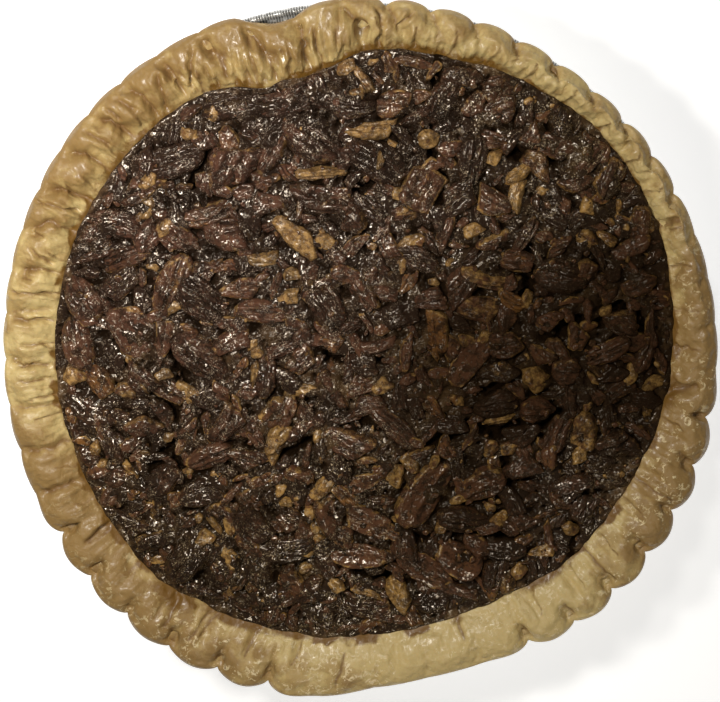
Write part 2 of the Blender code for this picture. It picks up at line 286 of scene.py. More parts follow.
def ring_faces(rings: int, sides: int) -> Array:
    """Four-cornered faces between closed rings whose points are numbered ring by ring."""
    ring, side = np.meshgrid(np.arange(rings - 1), np.arange(sides), indexing="ij")
    beside = (side + 1) % sides
    corners = (ring * sides + side, ring * sides + beside, (ring + 1) * sides + beside, (ring + 1) * sides + side)
    return np.stack(corners, axis=-1).reshape(-1, 4)


def fan_faces(pole: int, first: int, sides: int, flip: bool) -> Array:
    """Three-cornered faces from a pole to a closed ring that starts at a point number."""
    side = np.arange(sides)
    near, far = first + side, first + (side + 1) % sides
    pair = (far, near) if flip else (near, far)
    return np.stack([np.full(sides, pole), *pair], axis=-1)


def capped_rings(rings: Array, low_pole: Array, high_pole: Array) -> tuple[Array, list[Array]]:
    """Points and faces of rings closed by a pole at each end.

    Args:
        rings: places, shape (rings, sides, 3).
        low_pole: place that closes the first ring.
        high_pole: place that closes the last ring.

    Returns:
        The points, shape (n, 3), and the face arrays.
    """
    count, sides = rings.shape[:2]
    points = np.concatenate([rings.reshape(-1, 3), [low_pole], [high_pole]])
    total = count * sides
    low = fan_faces(total, 0, sides, flip=True)
    high = fan_faces(total + 1, total - sides, sides, flip=False)
    return points, [ring_faces(count, sides), low, high]


def grid_normals(grid: Array) -> Array:
    """Unit normals of a grid of rings, shape (rings, sides, 3), on the side that faces out."""
    along = np.gradient(grid, axis=0)
    around = np.roll(grid, -1, axis=1) - np.roll(grid, 1, axis=1)
    normals = np.cross(around, along)
    return normals / np.maximum(np.linalg.norm(normals, axis=-1, keepdims=True), 1e-9)


# Tools for finishes


class Value:
    """A number socket of a material, on which Python's operators add Math nodes."""

    def __init__(self, shader: Shader, socket: bpy.types.NodeSocket) -> None:
        """Wraps an output socket of a material."""
        self.shader = shader
        self.socket = socket

    def math(self, operation: str, *values: Value | float) -> Value:
        """The result of a Math node on this value and others."""
        inputs = dict(enumerate((self, *values)))
        return self.shader.node("ShaderNodeMath", {"operation": operation}, inputs)

    def __add__(self, other: Value | float) -> Value:
        """Sum."""
        return self.math("ADD", other)

    def __sub__(self, other: Value | float) -> Value:
        """Difference."""
        return self.math("SUBTRACT", other)

    def __mul__(self, other: Value | float) -> Value:
        """Product."""
        return self.math("MULTIPLY", other)

    def __rsub__(self, other: float) -> Value:
        """Difference from a number."""
        return self.shader.node("ShaderNodeMath", {"operation": "SUBTRACT"}, {0: other, 1: self})

    __radd__ = __add__
    __rmul__ = __mul__

    def between(self, low: float, high: float, start: float = 0.0, end: float = 1.0) -> Value:
        """This value mapped smoothly from low..high onto start..end.

        Args:
            low: value that gives start.
            high: value that gives end.
            start: result at or below low.
            end: result at or above high.

        Returns:
            The mapped value.
        """
        settings = {"interpolation_type": "SMOOTHSTEP"}
        inputs = {"Value": self, "From Min": low, "From Max": high, "To Min": start, "To Max": end}
        return self.shader.node("ShaderNodeMapRange", settings, inputs)


Colour = tuple[float, float, float]


class Shader:
    """A material built round one Principled shader."""

    def __init__(self, name: str) -> None:
        """Starts the material.

        Args:
            name: the material's name.
        """
        self.material = bpy.data.materials.new(name)
        self.material.use_nodes = True
        self.tree = self.material.node_tree
        self.principled = self.tree.nodes["Principled BSDF"]
        self.places = Value(self, self.tree.nodes.new("ShaderNodeTexCoord").outputs["Object"])

    def fill(self, socket: bpy.types.NodeSocket, value: Value | float | tuple[float, ...]) -> None:
        """Links a value to a socket or sets it there."""
        if isinstance(value, Value):
            self.tree.links.new(value.socket, socket)
        elif isinstance(value, tuple) and socket.type == "RGBA":
            socket.default_value = (*value, 1.0)
        else:
            socket.default_value = value

    def node(self, kind: str, settings: dict, inputs: dict, output: int | str = 0) -> Value:
        """Adds a node.

        Args:
            kind: the node's type.
            settings: properties set before its sockets are used.
            inputs: values or links of its sockets, by name or number.
            output: the output that is wanted.

        Returns:
            That output.
        """
        made = self.tree.nodes.new(kind)
        for name, value in settings.items():
            setattr(made, name, value)
        for name, value in inputs.items():
            self.fill(made.inputs[name], value)
        return Value(self, made.outputs[output])

    def mask(self, name: str) -> Value:
        """A mask that the mesh carries."""
        return self.node("ShaderNodeAttribute", {"attribute_name": name}, {}, "Fac")

    def grain(self, size: float, detail: float = 2.0, rough: float = 0.5, warp: float = 0.0) -> Value:
        """Cloudy noise from 0 to 1, with a spacing in millimetres, finer layers, their strength and a twist."""
        inputs = {"Vector": self.places, "Scale": 1.0 / (size * MM), "Detail": detail, "Roughness": rough}
        return self.node("ShaderNodeTexNoise", {}, inputs | {"Distortion": warp})

    def cells(self, size: float) -> Value:
        """Distance to the middle of random cells with a spacing in millimetres, in cells."""
        inputs = {"Vector": self.places, "Scale": 1.0 / (size * MM)}
        return self.node("ShaderNodeTexVoronoi", {}, inputs, "Distance")

    def near(self, spot: tuple[float, float, float], inner: float, outer: float) -> Value:
        """How near a spot each place is: 1 within the inner distance, 0 beyond the outer, in metres."""
        away = self.node("ShaderNodeVectorMath", {"operation": "DISTANCE"}, {0: self.places, 1: spot}, "Value")
        return away.between(inner, outer, 1.0, 0.0)

    def mix(self, factor: Value | float, first: Value | Colour, second: Value | Colour, way: str = "MIX") -> Value:
        """Two colours mixed, by a factor that is the share of the second."""
        settings = {"data_type": "RGBA", "blend_type": way}
        return self.node("ShaderNodeMix", settings, {0: factor, 6: first, 7: second}, 2)

    def bump(self, height: Value, depth: float, strength: float = 1.0, under: Value | None = None) -> Value:
        """A normal bent by a height.

        Args:
            height: the height, from 0 to 1.
            depth: what a height of 1 stands for, in millimetres.
            strength: how much of it is used.
            under: a normal that is bent already.

        Returns:
            The bent normal.
        """
        inputs: dict = {"Height": height, "Distance": depth * MM, "Strength": strength}
        if under is not None:
            inputs["Normal"] = under
        return self.node("ShaderNodeBump", {}, inputs)

    def surface(self, dry: Value | None = None, **sockets: Value | float | Colour) -> bpy.types.Material:
        """Fills the Principled shader's sockets.

        Args:
            dry: share of the surface that has no gloss at all.
            sockets: values under the sockets' names, with _ for each space.

        Returns:
            The finished material.
        """
        for name, value in sockets.items():
            self.fill(self.principled.inputs[name.replace("_", " ")], value)
        if dry is not None:
            chalk = {"Color": sockets["Base_Color"], "Normal": sockets["Normal"]}
            dull = self.node("ShaderNodeBsdfDiffuse", {}, chalk)
            both = {0: dry, 1: Value(self, self.principled.outputs[0]), 2: dull}
            self.fill(self.tree.nodes["Material Output"].inputs["Surface"], self.node("ShaderNodeMixShader", {}, both))
        return self.material


@dataclass(frozen=True)
class FoilFinish:
    """Thin rolled aluminium foil."""

    colour: Colour = (0.80, 0.80, 0.78)
    dull: Colour = (0.71, 0.70, 0.68)
    shade: Colour = (0.16, 0.155, 0.14)
    roughness: float = 0.30
    rib_depth: float = 0.32

    def material(self) -> bpy.types.Material:
        """The foil's material: bright, with rolling marks, crinkles and baked-on haze."""
        shader = Shader("foil")
        haze = shader.grain(9.0, 4.0, 0.6).between(0.45, 0.75)
        crinkle = shader.grain(3.5, 3.0, 0.6, 0.8)
        rib = (shader.mask("turn") * (2.0 * math.pi)).math("SINE") * 0.5 + 0.5
        uneven = shader.grain(2.4, 2.0, 0.6).between(0.35, 0.60, 0.35, 1.0)
        rib = rib * uneven * shader.mask("ribbed")
        colour = shader.mix(haze, self.colour, self.dull)
        normal = shader.bump(rib, self.rib_depth, 1.0, shader.bump(crinkle, 0.22, 0.5))
        return shader.surface(
            Base_Color=shader.mix(rib.between(0.1, 0.7, 0.0, 0.8), colour, self.shade),
            Metallic=0.6,
            Roughness=haze * 0.08 + self.roughness,
            Normal=normal,
        )


@dataclass(frozen=True)
class PastryFinish:
    """Baked pastry, from pale dough in the hollows to brown crests and caramel stains, with painted shade in its
    creases and folds.
    """

    pale: Colour = (0.59, 0.440, 0.185)
    gold: Colour = (0.46, 0.315, 0.120)
    brown: Colour = (0.32, 0.195, 0.065)
    # Dark colour of the painted shade in creases, folds, flutes and wrinkles.
    crease: Colour = (0.19, 0.098, 0.030)
    caramel: Colour = (0.185, 0.090, 0.014)
    fleck: Colour = (0.74, 0.59, 0.33)
    roughness: float = 0.50

    def material(self) -> bpy.types.Material:
        """The pastry's material."""
        shader = Shader("pastry")
        cloud = shader.grain(12.0, 4.0, 0.6)
        mottle = shader.grain(2.6, 4.0, 0.7)
        brown = shader.mask("brown") + (cloud - 0.5) * 1.1 + (mottle - 0.5) * 1.1
        colour = shader.mix(brown.between(0.10, 0.50), self.pale, self.gold)
        colour = shader.mix(brown.between(0.50, 1.05), colour, self.brown)
        flecks = shader.grain(2.2, 3.0, 0.7, 0.8).between(0.55, 0.61) * shader.grain(8.0).between(0.42, 0.56)
        colour = shader.mix(flecks * shader.mask("flaky").between(0.2, 0.8), colour, self.fleck)
        # Painted shade along the creases, folds, flutes and wrinkles.
        crease = shader.mask("crease") * (shader.grain(1.8, 3.0) * 0.6 + 0.7)
        colour = shader.mix(crease.between(0.10, 1.0, 0.0, 0.85), colour, self.crease)
        stain = (shader.mask("stain") * 1.3 + (mottle - 0.5) * 1.2) * shader.mask("stain").between(0.0, 0.2)
        stain = stain.between(0.10, 0.85)
        colour = shader.mix(stain, colour, self.caramel)
        wet = shader.mask("wet")
        pores = shader.grain(0.8, 2.0, 0.6)
        skin = shader.grain(2.6, 4.0, 0.6, 0.8)
        normal = shader.bump(skin, 0.60, 0.60)
        normal = shader.bump(pores, 0.22, 0.60, normal)
        return shader.surface(
            Base_Color=colour,
            Roughness=(mottle - 0.5) * 0.25 + self.roughness - wet * 0.24,
            Coat_Weight=wet * 0.7 + cloud.between(0.40, 0.62, 0.05, 0.35),
            Coat_Roughness=0.22,
            Subsurface_Weight=0.06,
            Subsurface_Radius=(0.0030, 0.0016, 0.0007),
            Subsurface_Scale=1.0,
            Specular_IOR_Level=0.45,
            Normal=normal,
        )


@dataclass(frozen=True)
class GlazeFinish:
    """Dark baked syrup with a crackled, sugary skin, with painted glints and painted shade in its colour."""

    # Near-black colour for painted shade in hollows, burst bubbles, crevices and right of the middle, and for darker
    # patches.
    deep: Colour = (0.008, 0.0045, 0.0022)
    glaze: Colour = (0.026, 0.0145, 0.0085)
    froth: Colour = (0.105, 0.060, 0.026)
    sand: Colour = (0.190, 0.130, 0.060)
    # Bright colour of the glints painted into the glaze's colour.
    painted_glint: Colour = (0.52, 0.415, 0.290)
    # Multiplying tints, as painted light near the upper left and painted shade away from it.
    lit_tint: Colour = (1.0, 0.98, 1.06)
    warm: Colour = (0.86, 0.82, 0.69)
    glint: Colour = (1.0, 0.89, 0.76)
    roughness: float = 0.09
    shine: float = 0.48

    def normal(self, shader: Shader, share: Value, under: Value | None = None) -> Value:
        """The bent normal of crackled glaze: rippled by a share, over one that is bent already."""
        folds = shader.grain(2.6, 1.0, 0.5, 0.4)
        ripples = (shader.grain(0.66, 0.0, 0.5, 0.4) - 0.5) * share
        normal = shader.bump(folds, 0.30, 1.0, under)
        return shader.bump(ripples, 0.140, 1.0, normal)

    def pit_shade(self, shader: Shader) -> Value:
        """Small burst bubbles, painted dark as shade: 0 in them and 1 beside them."""
        return shader.cells(4.4).between(0.055, 0.105) + shader.grain(11.0).between(0.42, 0.56, 1.0, 0.0)

    def stained(self, shader: Shader, colour: Value) -> Value:
        """A colour with sandy specks, painted glints, darker patches at random, painted shade in burst bubbles, in
        hollows and right of the middle, and painted light and shade: lighter near the upper left, darker away from it.
        """
        specks = shader.grain(1.1, 3.0, 0.7).between(0.56, 0.72) * shader.grain(13.0, 2.0).between(0.42, 0.62)
        colour = shader.mix(specks * 0.65, colour, self.sand)
        matte_and_shade = self.matte_and_shade(shader)
        # Painted glints: bright specks mixed into the colour, fewer where the glaze is dull and shaded.
        glint_dots = shader.cells(0.62).between(0.20, 0.46, 1.0, 0.0) * shader.grain(0.9, 1.0).between(0.40, 0.60, 0.1, 1.0)
        glint_wisps = shader.grain(0.85, 1.0, 0.6, 0.8).between(0.58, 0.70) * 0.6
        glint_specks = glint_dots.math("MAXIMUM", glint_wisps) * shader.grain(2.8, 3.0, 0.7).between(0.43, 0.60)
        glint_specks = glint_specks * shader.grain(9.0, 2.0).between(0.36, 0.58, 0.40, 1.0)
        # Fewer painted glints at the lower right and right of the middle, where shade is painted.
        quiet = shader.near((0.052, -0.062, 0.035), 0.020, 0.060).math("MAXIMUM", matte_and_shade)
        colour = shader.mix(glint_specks * (0.94 - quiet * 0.82), colour, self.painted_glint)
        # Painted shade in burst bubbles and in the hollows and crevices that the mesh marks.
        colour = shader.mix(self.pit_shade(shader).between(0.0, 0.9, 0.85, 0.0), colour, self.deep)
        colour = shader.mix(shader.mask("deep").between(0.02, 0.85, 0.0, 0.92), colour, self.deep)
        # Darker patches at random, and painted shade right of the middle.
        shade = shader.grain(15.0, 2.0).between(0.50, 0.66) * 0.45
        colour = shader.mix(shade.math("MAXIMUM", matte_and_shade * 0.54), colour, self.deep)
        # Painted light and shade: the colour is multiplied lighter and bluer near the upper left, darker and yellower
        # away from it.
        painted_light = shader.mix(shader.near((-0.060, 0.070, 0.035), 0.030, 0.150), self.warm, self.lit_tint)
        return shader.mix(1.0, colour, painted_light, "MULTIPLY")

    def dry(self, shader: Shader) -> Value:
        """Where there is no gloss: in the hollows and in the dull middle."""
        hollow = shader.mask("deep").between(0.05, 0.80)
        return (self.matte_and_shade(shader) * 0.85).math("MAXIMUM", hollow)

    def matte_and_shade(self, shader: Shader) -> Value:
        """How dull the glaze is and how much painted shade darkens it: most right of the middle."""
        middle = shader.near((0.045, 0.000, 0.035), 0.015, 0.055)
        right = shader.near((0.088, 0.010, 0.035), 0.018, 0.060)
        low = shader.near((0.035, -0.042, 0.035), 0.006, 0.045) * 0.7
        return middle.math("MAXIMUM", right).math("MAXIMUM", low)

    def material(self) -> bpy.types.Material:
        """The material of the syrup between the pecans."""
        shader = Shader("glaze")
        cloud = shader.grain(9.0, 4.0, 0.6)
        mottle = shader.grain(1.3, 4.0, 0.7)
        froth = shader.mask("froth") * 1.1 + (cloud - 0.5) * 0.8 + (mottle - 0.5) * 0.9
        colour = shader.mix(froth.between(0.25, 0.95), self.glaze, self.froth)
        return shader.surface(
            self.dry(shader),
            Base_Color=self.stained(shader, colour),
            Roughness=froth.between(0.3, 1.0) * 0.24 + self.roughness,
            Specular_IOR_Level=self.shine,
            Specular_Tint=self.glint,
            Normal=self.normal(shader, shader.grain(5.0, 2.0).between(0.38, 0.60, 0.45, 1.0)),
        )


@dataclass(frozen=True)
class PecanFinish:
    """Pecans under the glaze: dark umber to red-brown skin, ochre where they are broken, with painted shade in grooves
    and hollows and painted glints.
    """

    name: str
    umber: Colour = (0.026, 0.0140, 0.0085)
    russet: Colour = (0.112, 0.0500, 0.0280)
    amber: Colour = (0.220, 0.100, 0.0290)
    flesh: Colour = (0.46, 0.272, 0.0920)
    flesh_dark: Colour = (0.15, 0.078, 0.0270)
    veil: Colour = (0.027, 0.0150, 0.0090)
    groove: float = 1.5
    groove_depth: float = 0.30
    roughness: float = 0.10
    shine: float = 0.50

    def material(self) -> bpy.types.Material:
        """The pecans' material."""
        shader = Shader(self.name)
        cloud = shader.grain(6.0, 3.0, 0.6)
        mottle = shader.grain(1.0, 4.0, 0.75)
        tone = shader.mask("tone") + (cloud - 0.5) * 0.8 + (mottle - 0.5) * 1.3
        colour = shader.mix(tone.between(0.05, 0.55), self.umber, self.russet)
        colour = shader.mix(tone.between(0.60, 1.05), colour, self.amber)
        # Painted shade down the middle groove and the grooves beside it.
        colour = shader.mix(shader.mask("furrow_shade").between(0.1, 1.0, 0.0, 0.75), colour, self.umber)
        bare = (shader.mask("bare") * 1.25 + (mottle - 0.5) * 0.9 + (cloud - 0.5) * 0.5).between(0.35, 0.85)
        bare = bare * shader.mask("bare").between(0.0, 0.15)
        flesh = shader.mix(shader.grain(1.8, 4.0, 0.7).between(0.38, 0.62), self.flesh, self.flesh_dark)
        colour = shader.mix(bare, colour, flesh)
        veil = shader.grain(3.2, 5.0, 0.68, 0.6).between(0.46, 0.60) * (0.84 - bare * 0.36)
        colour = shader.mix(veil, colour, self.veil)
        strand = shader.mask("strand") + shader.grain(4.0, 2.0) * 2.0
        crest = (strand * (math.pi / self.groove)).math("SINE").math("ABSOLUTE")
        grooved = shader.mask("grooved") * shader.grain(5.0, 1.0).between(0.36, 0.60, 0.25, 1.0)
        # Painted shade in the valleys between the fine lengthwise ridges.
        colour = shader.mix(grooved * crest.between(0.05, 0.45, 0.65, 0.0), colour, self.umber)
        glaze = GlazeFinish()
        rippled = veil.between(0.0, 0.7, 0.50, 1.0)
        return shader.surface(
            glaze.dry(shader),
            Base_Color=glaze.stained(shader, colour),
            Roughness=(mottle - 0.5) * 0.1 + self.roughness + bare * 0.14,
            Specular_IOR_Level=self.shine,
            Specular_Tint=glaze.glint,
            Normal=glaze.normal(shader, rippled, shader.bump(crest * grooved, self.groove_depth)),
        )


@dataclass(frozen=True)
class FloorFinish:
    """Plain pale floor."""

    colour: Colour = (0.90, 0.90, 0.90)
    glow: float = 0.62

    def material(self) -> bpy.types.Material:
        """The floor's material."""
        return Shader("floor").surface(
            Base_Color=self.colour, Roughness=0.9, Specular_IOR_Level=0.1,
            Emission_Color=self.colour, Emission_Strength=self.glow,
        )


# The photograph's view


@dataclass(frozen=True)
class View:
    """The camera, which looks down from the top of the picture, a little off the vertical."""

    tilt: float = 15.0
    azimuth: float = 84.0
    distance: float = 520.0
    target: tuple[float, float, float] = (1.5, 4.0, 32.0)
    lens: float = 80.41
    film: float = 36.0
    middle_across: float = 360.0
    middle_down: float = 351.0

    def axes(self) -> tuple[Array, Array, Array, Array]:
        """Place of the camera in millimetres, then its right, up and backward directions."""
        tilt, azimuth = math.radians(self.tilt), math.radians(self.azimuth)
        sine = math.sin(tilt)
        back = np.array([sine * math.cos(azimuth), sine * math.sin(azimuth), math.cos(tilt)])
        up = np.array([0.0, 1.0, 0.0]) - back * back[1]
        up /= np.linalg.norm(up)
        return np.array(self.target) + self.distance * back, np.cross(up, back), up, back

    def spot(self, across: float, down: float, level: float) -> tuple[float, float]:
        """Where the ray through a pixel meets a level plane.

        Args:
            across: pixels from the photograph's left side.
            down: pixels from its top.
            level: the plane's height.

        Returns:
            The x and y of that place.
        """
        place, right, up, back = self.axes()
        focal = self.lens / self.film * PHOTO_WIDTH
        ray = (across - self.middle_across) / focal * right + (self.middle_down - down) / focal * up - back
        meet = place + ray * (level - place[2]) / ray[2]
        return float(meet[0]), float(meet[1])

    def build(self) -> None:
        """Makes the camera and gives it to the scene."""
        place, right, up, back = self.axes()
        data = bpy.data.cameras.new("view")
        data.sensor_width = self.film
        data.lens = self.lens
        data.clip_start = 0.01
        camera = bpy.data.objects.new("view", data)
        turn = Matrix((right, up, back)).transposed().to_4x4()
        camera.matrix_world = Matrix.Translation(Vector(place) * MM) @ turn
        bpy.context.scene.collection.objects.link(camera)
        bpy.context.scene.camera = camera
        log.info("view: %.0f mm lens", self.lens)


# The tin


@dataclass
class FoilTin:
    """A thin pressed pie tin: beaded base, pleated wall, ribbed flange and rolled rim."""

    rim_radius: float = 114.3
    base_radius: float = 82.5
    wall_top_radius: float = 107.2
    flange_height: float = 29.4
    bead: float = 1.1
    thickness: float = 0.25
    sides: int = 1200
    pleats: int = 96
    pleat_depth: float = 0.55
    ribs: int = 840

    def profile(self) -> Array:
        """Radius and height of the outer face, from the base's middle to the inside of the rim."""
        rise = 1.3
        steps = [(6.0, 0.35), (30.0, 0.35), (34.0, 0.75), (38.0, 0.75), (42.0, 0.30), (66.0, 0.30)]
        steps += [(69.0, 0.65), (72.0, 0.65), (75.0, 0.0), (self.base_radius - 1.0, 0.0)]
        steps += [(self.base_radius + 0.4, 0.35), (self.base_radius + rise, rise + 0.2)]
        top, height = self.wall_top_radius, self.flange_height
        bottom = self.base_radius + rise
        for share in (0.12, 0.25, 0.5, 0.75, 0.9, 0.96):
            steps.append((bottom + share * (top - bottom), rise + share * (height - rise)))
        steps += [(top + 0.2, height - 0.4), (top + 1.2, height - 0.02), (top + 2.6, height)]
        middle, centre = self.rim_radius - self.bead, height + 0.15
        for turn in range(-90, 181, 30):
            angle = math.radians(turn)
            steps.append((middle + self.bead * math.cos(angle), centre + self.bead * math.sin(angle)))
        return np.array(steps)

    def build(self) -> None:
        """Makes the tin's mesh."""
        profile = self.profile()
        inside = profile[:-9][::-1].copy()
        inside[:, 1] += self.thickness
        shape = np.concatenate([profile, inside])
        degrees = np.arange(self.sides) * 360.0 / self.sides
        radius, height = (np.repeat(column[:, None], self.sides, axis=1) for column in shape.T)
        turn = np.radians(degrees)[None, :]
        on_wall = ramp(radius, self.base_radius, self.base_radius + 5.0) * ramp(radius, self.wall_top_radius, 103.0)
        dent = Noise(71).layers(on_circle(degrees, radius, height) / 17.0, 2)
        pleat = np.abs(np.sin(turn * self.pleats / 2.0)) ** 0.7 - 0.6
        radius = radius + on_wall * (self.pleat_depth * pleat + 0.35 * dent)
        ribbed = ramp(radius, self.wall_top_radius, self.wall_top_radius + 1.5)
        grid = on_circle(degrees, radius, height + 0.15 * dent * ribbed)
        low, high = np.array([0.0, 0.0, 0.35]), np.array([0.0, 0.0, 0.35 + self.thickness])
        around = np.broadcast_to(turn * (self.ribs / (2.0 * math.pi)), radius.shape)
        surface = Surface(masks=("turn", "ribbed"))
        turns, ribs = (np.append(mask, [0.0, 0.0]) for mask in (around, ribbed))
        surface.add(*capped_rings(grid, low, high), turn=turns, ribbed=ribs)
        surface.build("foil_pie_tin", FoilFinish().material(), "foil_tin", "foil")


# The crust


@dataclass(frozen=True)
class CrimpZone:
    """A stretch of the crimped edge.

    notch, fold and swing are the depths of the dents between the lobes, of the folds from the filling
    side, and of the ridge's wander. pillow is how far the lobes bulge apart, up to pillow_reach of the
    way in from the tip. line is the depth of the creases between them, from line_start to line_end of
    the way in. vee is the depth of the pinched fold under each lobe, from its apex to the foot. lean is
    how far the lobes slant, in millimetres, and flute how deep the slope is fluted.
    """

    start: float
    end: float
    count: int
    notch: float
    fold: float
    swing: float
    pillow: float
    pillow_reach: float
    line: float
    line_start: float
    line_end: float
    vee: float
    apex: float
    lean: float
    flute: float


@dataclass(frozen=True)
class Crease:
    """One long crease across the crust, from a share of the way across to another."""

    degrees: float
    start: float
    end: float
    depth: float
    width: float
    lean: float = 0.0


@dataclass(frozen=True)
class Stain:
    """Caramel that boiled over the foot of the crust."""

    degrees: float
    spread: float
    reach: float
    strength: float
    wet: float = 0.0


OUTER_EDGE = ClosedCurve((
    (0, 116.5), (23, 115.8), (38, 115.9), (54, 115.2), (75, 115.8), (90, 116.0), (96, 114.6),
    (100, 111.6), (103, 110.8), (106, 112.8), (109, 115.8), (119, 116.2), (137, 116.1), (157, 115.0),
    (176, 114.4), (199, 115.8), (217, 118.8), (235, 120.9), (251, 121.1), (263, 119.4),
    (273, 115.2), (285, 113.4), (295, 114.2), (305, 117.1), (316, 118.8), (339, 118.7), (352, 117.6),
))
CRUST_FOOT = ClosedCurve((
    (0, 101.8), (13, 103.3), (25, 105.6), (47, 106.2), (56, 104.6), (66, 103.2), (72, 101.4),
    (84, 100.3), (90, 98.3), (95, 94.4), (102, 92.6), (109, 92.8), (114, 96.2), (121, 98.4),
    (147, 98.0), (178, 97.6), (199, 98.1), (215, 99.0), (228, 100.8), (239, 99.7), (251, 98.3),
    (263, 97.3), (276, 95.6), (291, 94.8), (304, 95.6), (317, 98.2), (332, 98.4), (347, 100.2),
))
FILL_EDGE_LEVEL = 30.2


@dataclass
class Rim:
    """The crust's rim as rings and sides, with the lobe that each side lies in and its share of it."""

    degrees: Array
    share: Array
    lobe: Array
    lobes: dict[str, Array]
    radii: Array
    heights: Array

    def __post_init__(self) -> None:
        """Works out the share of the way in from the tip of each place."""
        tip = self.radii.max(axis=0)
        self.across = np.clip((tip - self.radii) / (tip - CRUST_FOOT.radius(self.degrees)), 0.0, 1.0)

    def own(self, name: str) -> Array:
        """A size of the lobe that each side lies in, shape (1, sides)."""
        return self.lobes[name][self.lobe][None, :]

    def off(self, degrees: float | Array) -> Array:
        """Degrees from an angle to each side, from -180 to 180."""
        return (self.degrees[None, :] - degrees + 180.0) % 360.0 - 180.0


# Relief in millimetres and the painted crease shade at each place, each of shape (rings, sides)
Marks = tuple[Array, Array]


